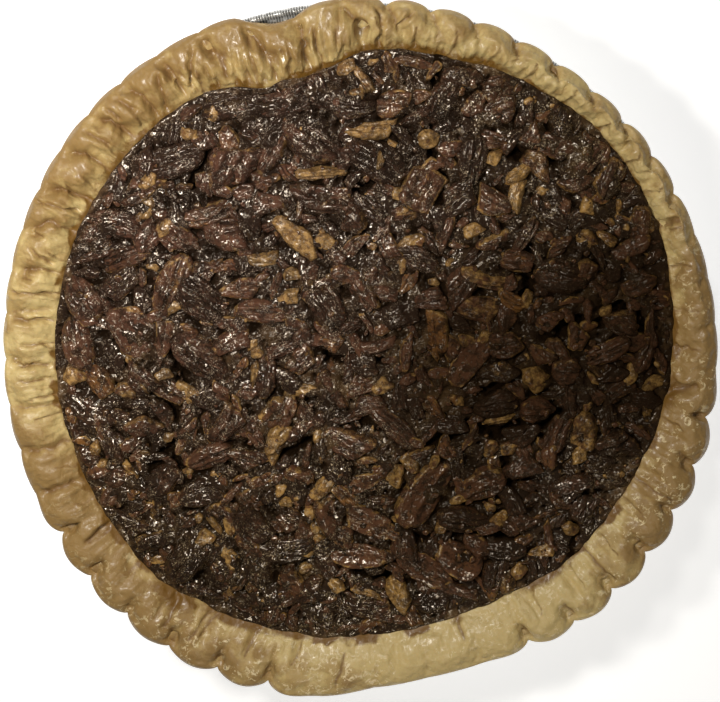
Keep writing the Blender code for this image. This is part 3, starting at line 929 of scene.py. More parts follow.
@dataclass
class PastryCrust:
    """The pastry shell with its hand-crimped rim."""

    zones: tuple[CrimpZone, ...] = tuple(CrimpZone(*row) for row in (
        (-0.2, 29.3, 4, 0.5, 2.4, 0.5, 0.6, 0.60, 0.6, 0.10, 0.60, 1.8, 0.42, 2.0, 0.3),
        (29.3, 92.3, 9, 1.7, 2.6, 1.6, 1.2, 0.65, 1.5, 0.00, 0.70, 1.8, 0.38, 4.0, 0.6),
        (92.3, 122.0, 4, 0.5, 1.0, 1.4, 2.0, 0.85, 2.0, 0.06, 0.98, 1.2, 0.46, 3.0, 1.5),
        (122.0, 171.7, 7, 0.7, 0.9, 1.2, 2.1, 0.85, 1.9, 0.12, 1.00, 1.1, 0.56, 3.5, 0.6),
        (171.7, 211.2, 5, 0.9, 1.4, 0.8, 1.6, 0.80, 1.6, 0.10, 1.00, 1.2, 0.58, -1.5, 0.5),
        (211.2, 263.9, 6, 3.4, 2.8, 1.8, 1.4, 0.60, 1.2, 0.05, 0.55, 1.4, 0.50, 2.0, 0.35),
        (263.9, 301.2, 4, 0.3, 0.9, 0.3, 0.4, 0.50, 0.5, 0.20, 0.70, 0.7, 0.60, -2.0, 0.3),
        (301.2, 359.8, 7, 3.2, 2.4, 1.6, 1.4, 0.56, 1.2, 0.04, 0.55, 1.2, 0.50, -2.0, 0.35),
    ))
    creases: tuple[Crease, ...] = tuple(Crease(*row) for row in (
        (25.4, 1.0, 0.30, 1.6, 1.3), (82.6, 0.50, 0.15, 1.4, 0.7, -4.7),
        (85.4, 0.50, 0.14, 1.4, 0.8, 2.6), (96.0, 0.95, 0.28, 1.6, 0.7, 1.0),
        (107.5, 0.42, 0.15, 1.5, 0.9), (114.4, 0.50, 0.16, 1.7, 0.9),
        (119.6, 0.80, 0.20, 1.7, 0.7, -5.2), (122.1, 0.54, 0.17, 1.7, 0.9),
        (125.6, 0.92, 0.25, 1.8, 0.8, -3.4), (130.0, 0.55, 0.15, 1.7, 0.8, 2.8),
        (132.8, 0.52, 0.15, 1.8, 0.7, 2.2), (137.1, 0.66, 0.15, 1.7, 0.8, 2.6),
        (148.0, 0.78, 0.40, 1.1, 0.6, -2.5), (150.8, 0.85, 0.02, 1.7, 0.6, 1.6),
        (157.1, 0.46, 0.15, 1.4, 0.7, 1.2), (161.3, 0.75, 0.28, 1.5, 0.7, -3.2),
        (165.0, 0.46, 0.14, 1.3, 0.7, -0.7), (167.0, 1.0, 0.02, 1.5, 0.6, 1.0),
        (172.3, 0.95, 0.12, 1.4, 0.7, 0.3), (176.4, 1.0, 0.34, 1.1, 0.6, 0.8),
        (180.6, 0.90, 0.16, 1.2, 0.6, 0.4), (186.8, 0.95, 0.40, 1.0, 0.5),
        (183.4, 1.0, 0.25, 1.1, 0.5), (190.6, 1.0, 0.45, 1.1, 0.5), (214.5, 1.0, 0.42, 1.5, 1.0),
        (233.5, 1.0, 0.30, 1.6, 1.4, 3.0), (241.0, 0.95, 0.35, 0.9, 0.7, -2.5),
        (268.0, 0.75, 0.15, 0.6, 0.8, -3.0), (291.0, 1.0, 0.55, 0.7, 0.8),
        (320.2, 0.98, 0.12, 1.1, 0.7, -1.0), (337.4, 0.98, 0.15, 0.9, 0.6, -1.5),
        (354.8, 1.0, 0.40, 1.7, 1.5, 3.5),
    ))
    stains: tuple[Stain, ...] = tuple(Stain(*row) for row in (
        (40.0, 12.0, 0.14, 0.55), (56.0, 7.0, 0.18, 0.6, 0.5), (68.0, 6.0, 0.34, 0.75, 1.0),
        (79.0, 7.0, 0.34, 0.75, 1.0), (89.0, 5.0, 0.30, 0.6, 0.9), (103.0, 11.0, 0.70, 0.10, 1.0),
        (115.0, 6.0, 0.40, 0.15, 1.0), (127.0, 5.0, 0.22, 0.6, 0.5), (138.0, 7.0, 0.24, 0.65, 0.3),
        (152.0, 6.0, 0.18, 0.6), (163.0, 5.0, 0.16, 0.5), (191.0, 4.0, 0.12, 0.4),
        (233.0, 4.0, 0.45, 0.95, 0.2), (247.0, 8.0, 0.22, 0.85), (257.0, 7.0, 0.16, 0.7),
        (310.0, 5.5, 0.22, 0.8, 0.2), (318.0, 4.0, 0.12, 0.5), (354.5, 4.0, 0.34, 0.8),
        (4.0, 5.0, 0.14, 0.6), (16.0, 8.0, 0.10, 0.5),
    ))
    seed: int = 11
    unevenness: float = 0.28
    samples: int = 24
    across_samples: int = 52
    lip_height: float = 32.4
    crest: float = 36.6
    crest_wave: float = 0.9
    underside: float = 31.0
    fold_share: float = 0.16
    roundness: float = 0.7
    wave_radius: float = 2.6
    per_degree: float = math.radians(109.0)
    lump_depth: float = 0.48
    wrinkle_depth: float = 0.36
    fine_depth: float = 0.08
    flaky_at: float = 302.0
    flaky_spread: float = 95.0
    hidden: tuple[tuple[float, float], ...] = ((81.55, 0.95), (82.55, 2.25), (105.9, 29.2), (107.6, 30.95))
    floor_radius: float = 78.5
    floor_level: float = 4.95
    # Brownness by angle round the rim: partly real browning, partly painted shade (darker at the right and lower left)
    # and painted light (paler at the lower right).
    browning_and_shade: ClosedCurve = ClosedCurve((
        (0, 1.32), (30, 0.00), (60, -0.20), (90, 0.04), (120, 0.46), (150, 0.22), (183, -0.26), (205, 1.16),
        (225, 0.92), (243, 0.56), (262, 0.00), (300, -0.95), (318, 0.06), (335, 0.64),
    ))

    def lobes(self) -> dict[str, Array]:
        """Each lobe's start, width and depths, drawn in the order of the solid's own lobes."""
        draw = random.Random(self.seed)
        extra = random.Random(self.seed + 1)
        rows: list[tuple[float, ...]] = []
        for zone in self.zones:
            width = (zone.end - zone.start) / zone.count
            for place in range(zone.count):
                sizes = [1.0 + self.unevenness * draw.uniform(-1.0, 1.0) for _ in range(3)]
                depths = [size * depth for size, depth in zip(sizes, (zone.notch, zone.fold, zone.swing))]
                more = [extra.uniform(0.6, 1.4) for _ in range(7)]
                bulge = (zone.pillow * more[0], zone.pillow_reach * (0.6 + 0.4 * more[1]))
                line = (zone.line * more[2], zone.line_start * more[3], zone.line_end * (0.7 + 0.3 * more[4]))
                vee = (zone.vee * more[5], zone.apex + 0.14 * (more[6] - 1.0))
                rest = (zone.lean * more[1] * more[4], zone.flute)
                rows.append((zone.start + place * width, width, *depths, *bulge, *line, *vee, *rest))
        names = ("start", "width", "notch", "fold", "swing", "pillow", "pillow_reach", "line", "line_start")
        names += ("line_end", "vee", "apex", "lean", "flute")
        return dict(zip(names, np.array(rows).T))

    def rim(self) -> Rim:
        """The rim's cross-sections all the way round, as a grid."""
        lobes = self.lobes()
        count = len(lobes["start"])
        lobe = np.repeat(np.arange(count), self.samples)
        share = np.tile(np.arange(self.samples) / self.samples, count)
        after = (lobe + 1) % count
        degrees = lobes["start"][lobe] + lobes["width"][lobe] * share
        hollow = 1.0 - np.sin(np.pi * share) ** self.roundness
        pinch = np.maximum(0.0, 1.0 - np.abs(share - 0.5) / 0.24) ** 1.4
        notch, swing = (
            (lobes[name][lobe] * (1.0 - share) + lobes[name][after] * share) * hollow for name in ("notch", "swing")
        )
        fold = lobes["fold"][lobe] * pinch
        outline = OUTER_EDGE.radius(degrees)
        tip = outline - notch
        foot = CRUST_FOOT.radius(degrees) + self.fold_share * fold
        around = on_circle(degrees, self.wave_radius, 0.0)
        wander = np.array([noise.noise(Vector(place)) for place in around])
        top = self.crest + self.crest_wave * wander - 0.45 * notch
        ridge = outline - 0.36 * (outline - foot) - swing
        inner = outline - 0.62 * (outline - foot) - 0.6 * swing
        # From under the tip over the crest and down to below the filling
        stations = (
            (np.maximum(tip - 4.2, 108.0), np.full_like(tip, self.underside)),
            (np.maximum(tip - 2.0, 108.4), np.full_like(tip, self.underside)),
            (tip, np.full_like(tip, self.lip_height)),
            (tip - 0.6, self.lip_height + 1.9 - 0.3 * notch),
            (tip - 2.5, top - 0.9),
            (ridge, top),
            (inner, top - 1.1 - 0.7 * fold),
            (foot + 0.42 * (inner - foot), FILL_EDGE_LEVEL + 2.2 - 0.3 * fold),
            (foot, np.full_like(tip, FILL_EDGE_LEVEL)),
            (foot - 1.2, np.full_like(tip, FILL_EDGE_LEVEL - 2.4)),
        )
        radii, heights = (self.smooth(np.array([station[part] for station in stations])) for part in (0, 1))
        return Rim(degrees, share, lobe, lobes, radii, heights)

    def smooth(self, stations: Array) -> Array:
        """Rings along a smooth curve through stations, shape (stations, sides)."""
        place = np.linspace(1.0, len(stations) - 2.0, self.across_samples)
        here = np.minimum(place.astype(int), len(stations) - 3)
        t = (place - here)[:, None]
        before, start, end, after = (stations[here + step] for step in (-1, 0, 1, 2))
        bent = 2.0 * before - 5.0 * start + 4.0 * end - after
        return start + 0.5 * t * (end - before + t * (bent + t * (3.0 * (start - end) + after - before)))

    def marks(self, rim: Rim) -> Marks:
        """Relief of all the creases and folds, and the painted shade in them at each place."""
        across = rim.across
        wave = Noise(5).layers(on_circle(rim.degrees, 17.0, across * 4.0), 2)
        width = rim.own("width") * self.per_degree
        slant = (rim.own("lean") + 0.9 * wave) * np.minimum(1.0, 1.8 * across)
        turned = rim.share[None, :] + slant / width
        parts = (
            self.lobe_lines(rim, turned, width), self.pinched_folds(rim, turned % 1.0, width),
            self.flutes(rim), self.long_creases(rim, wave),
        )
        relief, crease_shade = sum(part[0] for part in parts), np.maximum.reduce([part[1] for part in parts])
        return relief * (0.2 + 0.8 * ramp(across, 1.0, 0.87)), crease_shade

    def lobe_lines(self, rim: Rim, turned: Array, width: Array) -> Marks:
        """Pillows of the lobes and the creases between them.

        Args:
            rim: the rim's grid.
            turned: share of the way along its lobe of each place, the lobe's slant left out.
            width: the lobes' widths in millimetres.

        Returns:
            The relief and the painted crease shade at each place.
        """
        across = rim.across
        nearest = (rim.lobe + (turned >= 0.5)) % len(rim.lobes["start"])
        pillow, reach, line, start, end = (
            rim.lobes[name][nearest] for name in ("pillow", "pillow_reach", "line", "line_start", "line_end")
        )
        turned = turned % 1.0
        hollow = 1.0 - np.sin(np.pi * turned) ** self.roundness
        relief = -pillow * hollow * ramp(across, reach, reach - 0.30) * ramp(across, 0.0, 0.18)
        aside = np.minimum(turned, 1.0 - turned) * width
        along = ramp(across, start - 0.06, start + 0.10) * ramp(across, end, end - 0.18)
        relief -= line * along * hump(aside, 1.25)
        return relief, np.minimum(1.0, 0.62 * line * along * hump(aside, 0.80))

    def pinched_folds(self, rim: Rim, turned: Array, width: Array) -> Marks:
        """The pinched fold under each lobe, which opens from its apex to the foot, with a lip beside it.

        Args:
            rim: the rim's grid.
            turned: share of the way along its lobe of each place, from 0 to 1.
            width: the lobes' widths in millimetres.

        Returns:
            The relief and the painted crease shade at each place.
        """
        across, apex, depth = rim.across, rim.own("apex"), rim.own("vee")
        middle = (turned - 0.5) * width
        opened = np.clip((across - apex) / (1.02 - apex), 0.0, 1.0)
        half_width = 0.3 + 2.4 * opened
        side = np.clip((middle + half_width) / (1.5 * half_width), 0.0, 1.0)
        inside = side * ramp(middle, half_width, half_width - 0.5) * (opened > 0.0)
        relief = -depth * inside * (0.30 + 0.70 * opened) * ramp(across, 1.0, 0.74)
        relief += 0.22 * hump(middle - half_width - 0.5, 0.8) * (opened > 0.02) * np.minimum(1.5, depth)
        steep = np.maximum(hump(middle - half_width + 0.2, 0.42), 0.45 * hump(middle + half_width, 0.40))
        crease_shade = np.maximum(0.55 * inside**2, 0.95 * steep * (opened > 0.0))
        return relief, crease_shade * np.minimum(1.0, depth / 1.6)

    def flutes(self, rim: Rim) -> Marks:
        """Fine ridges down the slope to the filling."""
        ridges = Noise(43).ridges(stacked(rim.degrees * self.per_degree / 3.1, rim.across * 1.3, 0.0), 2)
        depth = rim.own("flute") * ramp(rim.across, 0.30, 0.55) * ramp(rim.across, 1.0, 0.85)
        # The valleys between the ridges get painted shade.
        return depth * (ridges - 0.4), 0.7 * np.minimum(1.0, depth) * ramp(ridges, 0.35, 0.0)

    def long_creases(self, rim: Rim, wave: Array) -> Marks:
        """The creases that are placed one by one.

        Args:
            rim: the rim's grid.
            wave: how far each place is off its straight line.

        Returns:
            The relief and the painted crease shade at each place.
        """
        across = rim.across
        relief, crease_shade = np.zeros_like(across), np.zeros_like(across)
        for crease in self.creases:
            turn = rim.off(crease.degrees + crease.lean * (crease.start - across))
            off = np.abs(turn * self.per_degree + 0.6 * wave)
            along = ramp(across, crease.end - 0.03, crease.end + 0.10)
            along = along * ramp(across, crease.start + 0.06, crease.start - 0.03)
            bank = hump(off - 2.2 * crease.width, crease.width)
            relief -= crease.depth * along * (hump(off, crease.width) - 0.25 * bank)
            crease_shade = np.maximum(crease_shade, hump(off, crease.width * 0.8) * along)
        return relief, crease_shade

    def skin(self, rim: Rim, places: Array, lumps: Array) -> Marks:
        """Lumps, wrinkles and blisters of the baked dough.

        Args:
            rim: the rim's grid.
            places: its points.
            lumps: coarse noise at them.

        Returns:
            The relief and the painted shade in the wrinkles at each place.
        """
        flaky = self.flaky(rim)
        wrinkles = Noise(23).ridges(stacked(rim.degrees * 1.9 / 1.5, rim.radii / 7.0, rim.heights / 5.0), 3)
        fine = Noise(31).layers(places / 1.7, 2)
        blister = Noise(37).spots(places / 4.6, 0.42, 0.10, 0.55)
        face = ramp(rim.across, 0.02, 0.12) * ramp(rim.across, 1.0, 0.9)
        relief = self.lump_depth * lumps + (self.wrinkle_depth - 0.24 * flaky) * (wrinkles - 0.4)
        relief += (self.fine_depth + 0.16 * flaky) * (fine + blister)
        # The valleys of the wrinkles get painted shade, less on flaky dough.
        return face * relief, (0.40 - 0.25 * flaky) * face * ramp(wrinkles, 0.24, 0.0)

    def flaky(self, rim: Rim) -> Array:
        """How pale and flaky the dough is: most at the lower right of the photograph."""
        return np.broadcast_to(hump(rim.off(self.flaky_at), self.flaky_spread), rim.across.shape)

    def browned_and_shaded(self, rim: Rim, lumps: Array) -> Array:
        """How brown each place is: most on the crests and lobes, least down the slope, with painted light and shade by
        angle round the rim.
        """
        across = rim.across
        crest = hump(across - 0.26, 0.26) * (0.55 + 0.45 * np.sin(np.pi * rim.share)[None, :] ** self.roundness)
        warm = 0.26 + 0.32 * crest + 0.40 * lumps - 0.35 * ramp(across, 0.6, 0.95)
        left = hump((rim.degrees - 148.0) % 360.0, 42.0) + hump(rim.off(106.0), 60.0)
        return warm + 0.14 * left + 0.25 * ramp(across, 0.12, 0.0) + self.browning_and_shade.radius(rim.degrees)

    def stained(self, rim: Rim, places: Array) -> tuple[Array, Array]:
        """Where caramel stains the crust, and where it is wet with it."""
        across = rim.across
        stain, wet = np.zeros_like(across), np.zeros_like(across)
        for mark in self.stains:
            patch, reach = hump(rim.off(mark.degrees), mark.spread), mark.reach
            stain = np.maximum(stain, mark.strength * patch * ramp(across, 1.0 - reach, 1.0 - 0.2 * reach))
            wet = np.maximum(wet, mark.wet * patch * ramp(across, 1.0 - 1.5 * reach, 1.0 - 0.6 * reach))
        patches = np.clip(0.42 + 0.8 * Noise(47).layers(places / 7.0, 2), 0.15, 0.95)
        stain = np.maximum(stain, patches * ramp(across + 0.14 * patches, 0.92, 1.06))
        hide = ramp(rim.heights, FILL_EDGE_LEVEL - 0.1, FILL_EDGE_LEVEL - 1.0) * (across > 0.9)
        return np.maximum(stain, hide), wet

    def build(self) -> None:
        """Makes the crust's mesh, with masks for its brownness (partly painted light and shade), painted crease shade,
        stains and wet glaze.
        """
        rim = self.rim()
        grid = on_circle(rim.degrees, rim.radii, rim.heights)
        lumps = Noise(29).layers(grid / 6.5, 2)
        (relief, crease_shade), (bumps, wrinkle_shade) = self.marks(rim), self.skin(rim, grid, lumps)
        stain, wet = self.stained(rim, grid)
        crease_shade = np.maximum(crease_shade, wrinkle_shade)
        masks = {"brown": self.browned_and_shaded(rim, lumps), "crease": crease_shade, "stain": stain, "wet": wet,
                 "flaky": self.flaky(rim)}
        grid = grid + grid_normals(grid) * (relief + bumps)[..., None]

        wall = CRUST_FOOT.radius(rim.degrees)
        shell = on_circle(rim.degrees, *(np.array(column)[:, None] for column in zip(*self.hidden)))
        floor = on_circle(rim.degrees, self.floor_radius, self.floor_level)
        inside = np.stack([on_circle(rim.degrees, wall - 2.0, 26.2), floor])
        plain = ((len(shell), len(inside)), (0, 0))
        masks = {name: np.append(np.pad(value, plain), [0.0, 0.0]) for name, value in masks.items()}
        surface = Surface(masks=tuple(masks))
        rings = np.concatenate([shell, grid, inside])
        low, high = np.array([0.0, 0.0, self.hidden[0][1]]), np.array([0.0, 0.0, self.floor_level])
        surface.add(*capped_rings(rings, low, high), **masks)
        surface.build("pastry_shell", PastryFinish().material(), "pastry_crust", "pastry")


# The filling


class Kind(Enum):
    """What a piece of pecan is."""

    HALF = "half"
    INSIDE = "half with its flat side up"
    BROKEN = "broken half"
    SLIVER = "sliver"
    CHUNK = "chunk"
    CHIP = "chip"
    DISC = "disc"


# Kinds that broke across their length
LONG_BREAKS = (Kind.BROKEN, Kind.SLIVER)


@dataclass(frozen=True)
class Piece:
    """A pecan piece: where the photograph shows its middle, how it is turned, its size and colour.

    tone runs from 0, umber, through 0.5, russet, to 1, amber. bare is how much ochre flesh shows.
    """

    kind: Kind
    across: float
    down: float
    turn: float
    length: float
    width: float
    tone: float = 0.4
    bare: float = 0.0

    @property
    def large(self) -> bool:
        """Whether it is one of the large pieces, which others rest on."""
        return self.length >= 9.0

    @property
    def crumb(self) -> bool:
        """Whether it counts as a crumb."""
        return self.length < 3.1


@dataclass(frozen=True)
class Form:
    """How the pieces of a kind are formed.

    share is the height next to the width. square is how full the outline's corners are. cuts is how
    many straight breaks it has, at nearest to farthest of the way out. edge is how flat the top is up
    to its edge, and grooved how strongly it is grooved lengthwise.
    """

    share: float
    square: float
    cuts: int
    nearest: float
    farthest: float
    edge: float
    grooved: float


FORMS = {
    Kind.HALF: Form(0.46, 2.1, 1, 0.80, 0.96, 2.6, 1.0),
    Kind.INSIDE: Form(0.38, 2.3, 2, 0.72, 0.94, 4.0, 0.25),
    Kind.BROKEN: Form(0.45, 2.7, 4, 0.55, 0.86, 3.8, 0.9),
    Kind.SLIVER: Form(0.68, 2.6, 4, 0.60, 0.90, 3.2, 0.7),
    Kind.CHUNK: Form(0.46, 2.6, 6, 0.52, 0.86, 3.8, 0.25),
    Kind.CHIP: Form(0.42, 2.4, 6, 0.50, 0.86, 3.4, 0.2),
    Kind.DISC: Form(0.34, 2.0, 0, 1.0, 1.0, 3.2, 0.0),
}

# Pieces that stand out in the photograph, as (across, down, turn, length, width, tone, bare or none)
LANDMARKS: dict[Kind, tuple[tuple[float, ...], ...]] = {
    Kind.HALF: (
        (232, 103, 5, 22, 9.5, 0.05), (157, 152, 12, 26, 11, 0.10), (208, 213, 15, 20, 9, 0.60),
        (272, 147, 65, 20, 7, 0.55), (312, 138, -35, 23, 14, 0.25), (375, 162, -30, 22, 13, 0.15),
        (80, 300, -60, 17, 12, 0.35), (78, 345, -78, 19, 11, 0.50), (172, 288, 65, 24, 11, 0.62, 0.30),
        (203, 300, -40, 22, 13, 0.20), (200, 358, -40, 22, 13, 0.30), (563, 276, -5, 19, 12, 0.12),
        (190, 560, 50, 23, 12, 0.12), (160, 486, 40, 17, 10, 0.25), (210, 458, 20, 18, 9, 0.50, 0.1),
        (465, 521, -8, 20, 10, 0.18, 0.1), (503, 550, 0, 17, 9, 0.08), (497, 578, 75, 15, 9, 0.15),
        (325, 312, -55, 18, 11, 0.20), (497, 406, 12, 16, 10, 0.10, 0.05), (262, 316, -6, 19, 8, 0.55),
        (112, 225, -10, 20, 9, 0.30), (125, 262, 20, 18, 8, 0.60, 0.15), (605, 352, 25, 19, 7.5, 0.45),
        (348, 102, -10, 20, 10, 0.08), (285, 548, 10, 22, 10, 0.12), (90, 410, -30, 20, 9, 0.22),
        (445, 100, 60, 18, 9, 0.15), (470, 165, 80, 20, 10, 0.12), (415, 262, -20, 17, 9, 0.22),
        (265, 375, 85, 17, 7, 0.35, 0.1), (395, 430, -45, 22, 8, 0.30),
    ),
    Kind.INSIDE: (
        (425, 492, 55, 29, 13, 0.55, 0.15), (355, 558, -3, 23, 9.5, 0.62, 0.12), (423, 570, -38, 23, 10, 0.45, 0.2),
        (480, 485, 25, 18, 11, 0.55, 0.05), (458, 562, -30, 17, 12, 0.55), (367, 523, -25, 18, 9.5, 0.55, 0.15),
        (130, 330, -55, 20, 15, 0.42, 0.1), (362, 484, 20, 16, 6.5, 0.60), (470, 362, 55, 20, 9, 0.50),
    ),
    Kind.BROKEN: (
        (228, 165, 60, 20, 15, 0.40, 0.15), (140, 189, 30, 17, 9, 0.55, 0.1), (178, 239, -35, 17, 10, 0.55, 0.2),
        (225, 236, 10, 15, 12, 0.50), (318, 197, -5, 21, 9, 0.35, 0.1), (423, 190, 60, 15, 12, 0.60, 0.05),
        (395, 106, 2, 12, 9, 0.65, 0.3), (241, 288, 0, 15, 7, 0.60, 0.1), (163, 340, 80, 13, 7.5, 0.60, 0.2),
        (531, 139, 40, 10, 8, 0.60), (558, 148, -20, 13, 8, 0.40, 0.1), (577, 338, 70, 9, 8, 0.62, 0.05),
        (549, 322, -20, 9, 8.5, 0.40), (567, 370, 5, 10, 9, 0.35, 0.05), (537, 413, -10, 12, 9.5, 0.52),
        (560, 437, 65, 14, 8.5, 0.42), (623, 322, -30, 13, 9.5, 0.25), (250, 500, -40, 10, 7, 0.60),
        (115, 500, 60, 13, 8, 0.50), (330, 345, -10, 9, 6, 0.70), (345, 275, -15, 10, 6, 0.60, 0.05),
        (300, 360, 40, 12, 8, 0.40, 0.25), (350, 445, -15, 18, 10, 0.42, 0.05), (300, 478, -20, 12, 8, 0.55, 0.1),
        (505, 345, 10, 13, 9, 0.35), (540, 350, -50, 12, 8, 0.50, 0.1), (430, 300, 10, 12, 8, 0.45, 0.05),
        (455, 350, 80, 10, 6.5, 0.72, 0.1), (640, 285, 20, 12, 8, 0.35), (585, 275, 70, 10, 7, 0.45, 0.1),
        (615, 445, 30, 13, 9, 0.25), (520, 470, 30, 14, 10, 0.25), (575, 492, 20, 15, 10, 0.22),
        (525, 522, 30, 11, 8, 0.30, 0.05), (585, 510, 60, 12, 9, 0.15), (270, 600, 15, 16, 9, 0.20),
        (310, 595, 30, 14, 9, 0.25), (370, 610, -10, 18, 9, 0.30), (430, 605, 20, 14, 9, 0.15),
        (225, 425, 60, 16, 10, 0.25), (345, 215, -40, 16, 10, 0.25), (460, 200, 30, 14, 10, 0.15),
        (285, 100, 15, 16, 9, 0.25, 0.05), (500, 115, 20, 14, 9, 0.30, 0.1), (465, 80, -20, 15, 9, 0.25),
        (610, 180, 70, 14, 10, 0.32), (575, 180, 20, 12, 9, 0.35, 0.05), (640, 225, 80, 12, 8, 0.40, 0.1),
        (120, 280, 50, 15, 9, 0.15), (140, 380, -40, 14, 9, 0.30), (235, 345, 30, 14, 9, 0.35, 0.2),
        (110, 445, -60, 16, 9, 0.15), (200, 495, 10, 16, 10, 0.15), (245, 460, -30, 15, 10, 0.30),
    ),
    Kind.SLIVER: (
        (356, 78, -50, 14, 6, 0.80, 0.55), (398, 73, 82, 7, 2.6, 0.75, 0.3), (434, 71, 52, 8, 3, 0.75, 0.5),
        (372, 130, 5, 18.5, 6, 0.9, 0.95), (324, 174, 1, 18.5, 4.4, 0.85, 0.9), (381, 160, 80, 6, 2.4, 0.8, 0.8),
        (519, 173, 32, 11.5, 4.6, 0.85, 0.9), (517, 197, 78, 11, 5.2, 0.85, 0.85), (302, 394, 6, 13.5, 4.2, 0.8, 0.9),
        (141, 380, -46, 10.5, 3.2, 0.8, 0.75), (262, 258, 3, 11, 4.4, 0.85, 0.7), (187, 273, 78, 12, 3.2, 0.85, 0.75),
        (490, 277, -12, 20, 6.5, 0.7, 0.45), (569, 285, -3, 9.5, 2.8, 0.85, 0.85), (500, 421, 12, 12, 3, 0.85, 0.85),
        (594, 380, -65, 6, 2.6, 0.8, 0.65), (137, 511, 32, 14.5, 2.8, 0.62, 0.15), (215, 526, -45, 8, 2.8, 0.85, 0.85),
        (320, 487, 55, 11, 5, 0.8, 0.7), (431, 465, 62, 8.5, 3, 0.8, 0.75), (368, 596, -20, 12, 3.4, 0.8, 0.55),
        (406, 352, 84, 14, 4.2, 0.62, 0.1), (255, 375, 88, 10, 3, 0.85, 0.85), (590, 312, 85, 9, 4, 0.45, 0.15),
        (126, 469, -50, 7, 2.6, 0.8, 0.75), (607, 240, -25, 8, 4, 0.75, 0.6), (330, 330, -35, 12, 4, 0.4, 0.05),
        (335, 300, -60, 12, 4, 0.25), (445, 235, 75, 14, 5, 0.35), (378, 345, 10, 13, 4.5, 0.4, 0.05),
        (525, 235, 60, 14, 5, 0.3), (655, 330, 85, 14, 5, 0.3), (645, 360, 70, 12, 5, 0.35, 0.05),
        (95, 255, 30, 13, 5, 0.4, 0.05), (165, 415, -50, 13, 5, 0.2), (300, 430, 50, 12, 4.5, 0.35, 0.1),
    ),
    Kind.CHUNK: (
        (297, 238, -47, 19, 8, 0.97, 0.85), (275, 443, 58, 15.5, 8, 0.95, 0.95), (401, 597, -58, 15, 7.5, 0.95, 0.95),
        (537, 382, 10, 9.5, 9, 0.80, 0.55), (594, 210, -24, 9.5, 5.4, 0.85, 0.75), (590, 240, -30, 9, 5.5, 0.80, 0.6),
        (475, 231, 15, 7.5, 5, 0.85, 0.9), (293, 275, -10, 6.5, 5, 0.85, 0.85), (290, 297, 60, 8, 6.5, 0.85, 0.95),
        (411, 243, 32, 9, 5.5, 0.9, 0.95), (72, 376, 20, 8.5, 7.5, 0.85, 0.8), (187, 394, -20, 9.5, 6.5, 0.9, 1.0),
        (228, 559, -55, 10, 5.5, 0.85, 0.9), (229, 527, -60, 8, 5, 0.75, 0.6), (204, 538, 30, 7, 6, 0.75, 0.6),
        (396, 476, 70, 8.5, 6, 0.85, 0.95), (654, 385, 12, 8, 5, 0.8, 0.75), (632, 377, 65, 8, 5, 0.85, 0.85),
        (334, 587, -45, 8, 5.6, 0.9, 0.95), (581, 457, 70, 8.5, 5.5, 0.85, 0.8), (124, 392, 0, 8, 6, 0.7, 0.4),
        (500, 520, 60, 7, 5, 0.95, 0.6), (519, 574, 60, 6.5, 5, 0.75, 0.65), (541, 554, 20, 9, 5, 0.9, 0.55),
        (486, 337, 12, 6.5, 4.2, 0.75, 0.75), (466, 342, -20, 6, 4.5, 0.7, 0.5), (495, 158, 22, 6.5, 4.6, 0.85, 0.95),
        (411, 464, -50, 8, 5, 0.75, 0.65), (490, 450, 60, 6.5, 4.5, 0.7, 0.5), (510, 449, 10, 6.5, 5, 0.7, 0.5),
        (571, 531, 0, 6.5, 5, 0.8, 0.6), (365, 460, 8, 9, 4.5, 0.7, 0.45), (382, 386, 30, 7.5, 5.5, 0.7, 0.6),
        (459, 500, 0, 6.5, 3.8, 0.85, 0.95), (442, 525, 75, 7.5, 4, 0.8, 0.7),
        (346, 64, 30, 7, 5, 0.8, 0.6), (527, 300, 75, 6.5, 4, 0.75, 0.7), (165, 228, 60, 7, 4, 0.8, 0.8),
    ),
    Kind.CHIP: (
        (188, 135, -40, 6.5, 5, 0.9, 0.95), (149, 181, 60, 7, 4.6, 0.9, 0.95), (148, 203, -10, 5, 3.4, 0.9, 0.9),
        (146, 215, 70, 4.6, 3, 0.9, 0.9), (397, 194, 70, 4.6, 4, 0.9, 1.0), (390, 148, 60, 5, 3.4, 0.85, 0.95),
        (152, 267, -30, 4.4, 3, 0.8, 0.8), (163, 376, 10, 6.5, 4, 0.85, 0.9), (207, 323, 10, 5.5, 3, 0.8, 0.7),
        (253, 345, 60, 5.5, 3, 0.85, 0.9), (257, 353, 10, 4.5, 4, 0.85, 0.85), (331, 276, 0, 3.4, 2.2, 0.8, 0.9),
        (458, 401, -45, 6, 4, 0.85, 0.9), (530, 102, -5, 5, 3, 0.8, 0.8), (543, 191, 20, 4.4, 3.4, 0.7, 0.6),
        (620, 209, 85, 5.5, 2.6, 0.75, 0.8), (607, 312, 60, 5, 4, 0.75, 0.7), (588, 408, 30, 4, 3.4, 0.75, 0.7),
        (94, 450, 70, 6, 4.2, 0.9, 0.95), (101, 466, 60, 4.6, 3.4, 0.8, 0.8), (168, 438, 40, 5, 3.6, 0.9, 0.85),
        (144, 455, -10, 3.6, 2, 0.8, 0.9), (187, 472, 10, 4, 3, 0.85, 0.7), (156, 562, 5, 6, 3.8, 0.85, 0.8),
        (198, 520, 70, 4, 3, 0.8, 0.8), (280, 492, 75, 5, 3.8, 0.9, 0.95), (286, 504, 20, 5, 4.4, 0.9, 0.95),
        (309, 513, -65, 6.5, 4, 0.9, 0.95), (315, 530, 80, 4.6, 3.8, 0.9, 0.9), (318, 540, 0, 5.2, 4, 0.9, 0.9),
        (308, 552, 60, 5, 4.4, 0.8, 0.8), (306, 570, 0, 5, 4.6, 0.85, 0.85), (317, 436, 60, 6, 3.4, 0.8, 0.85),
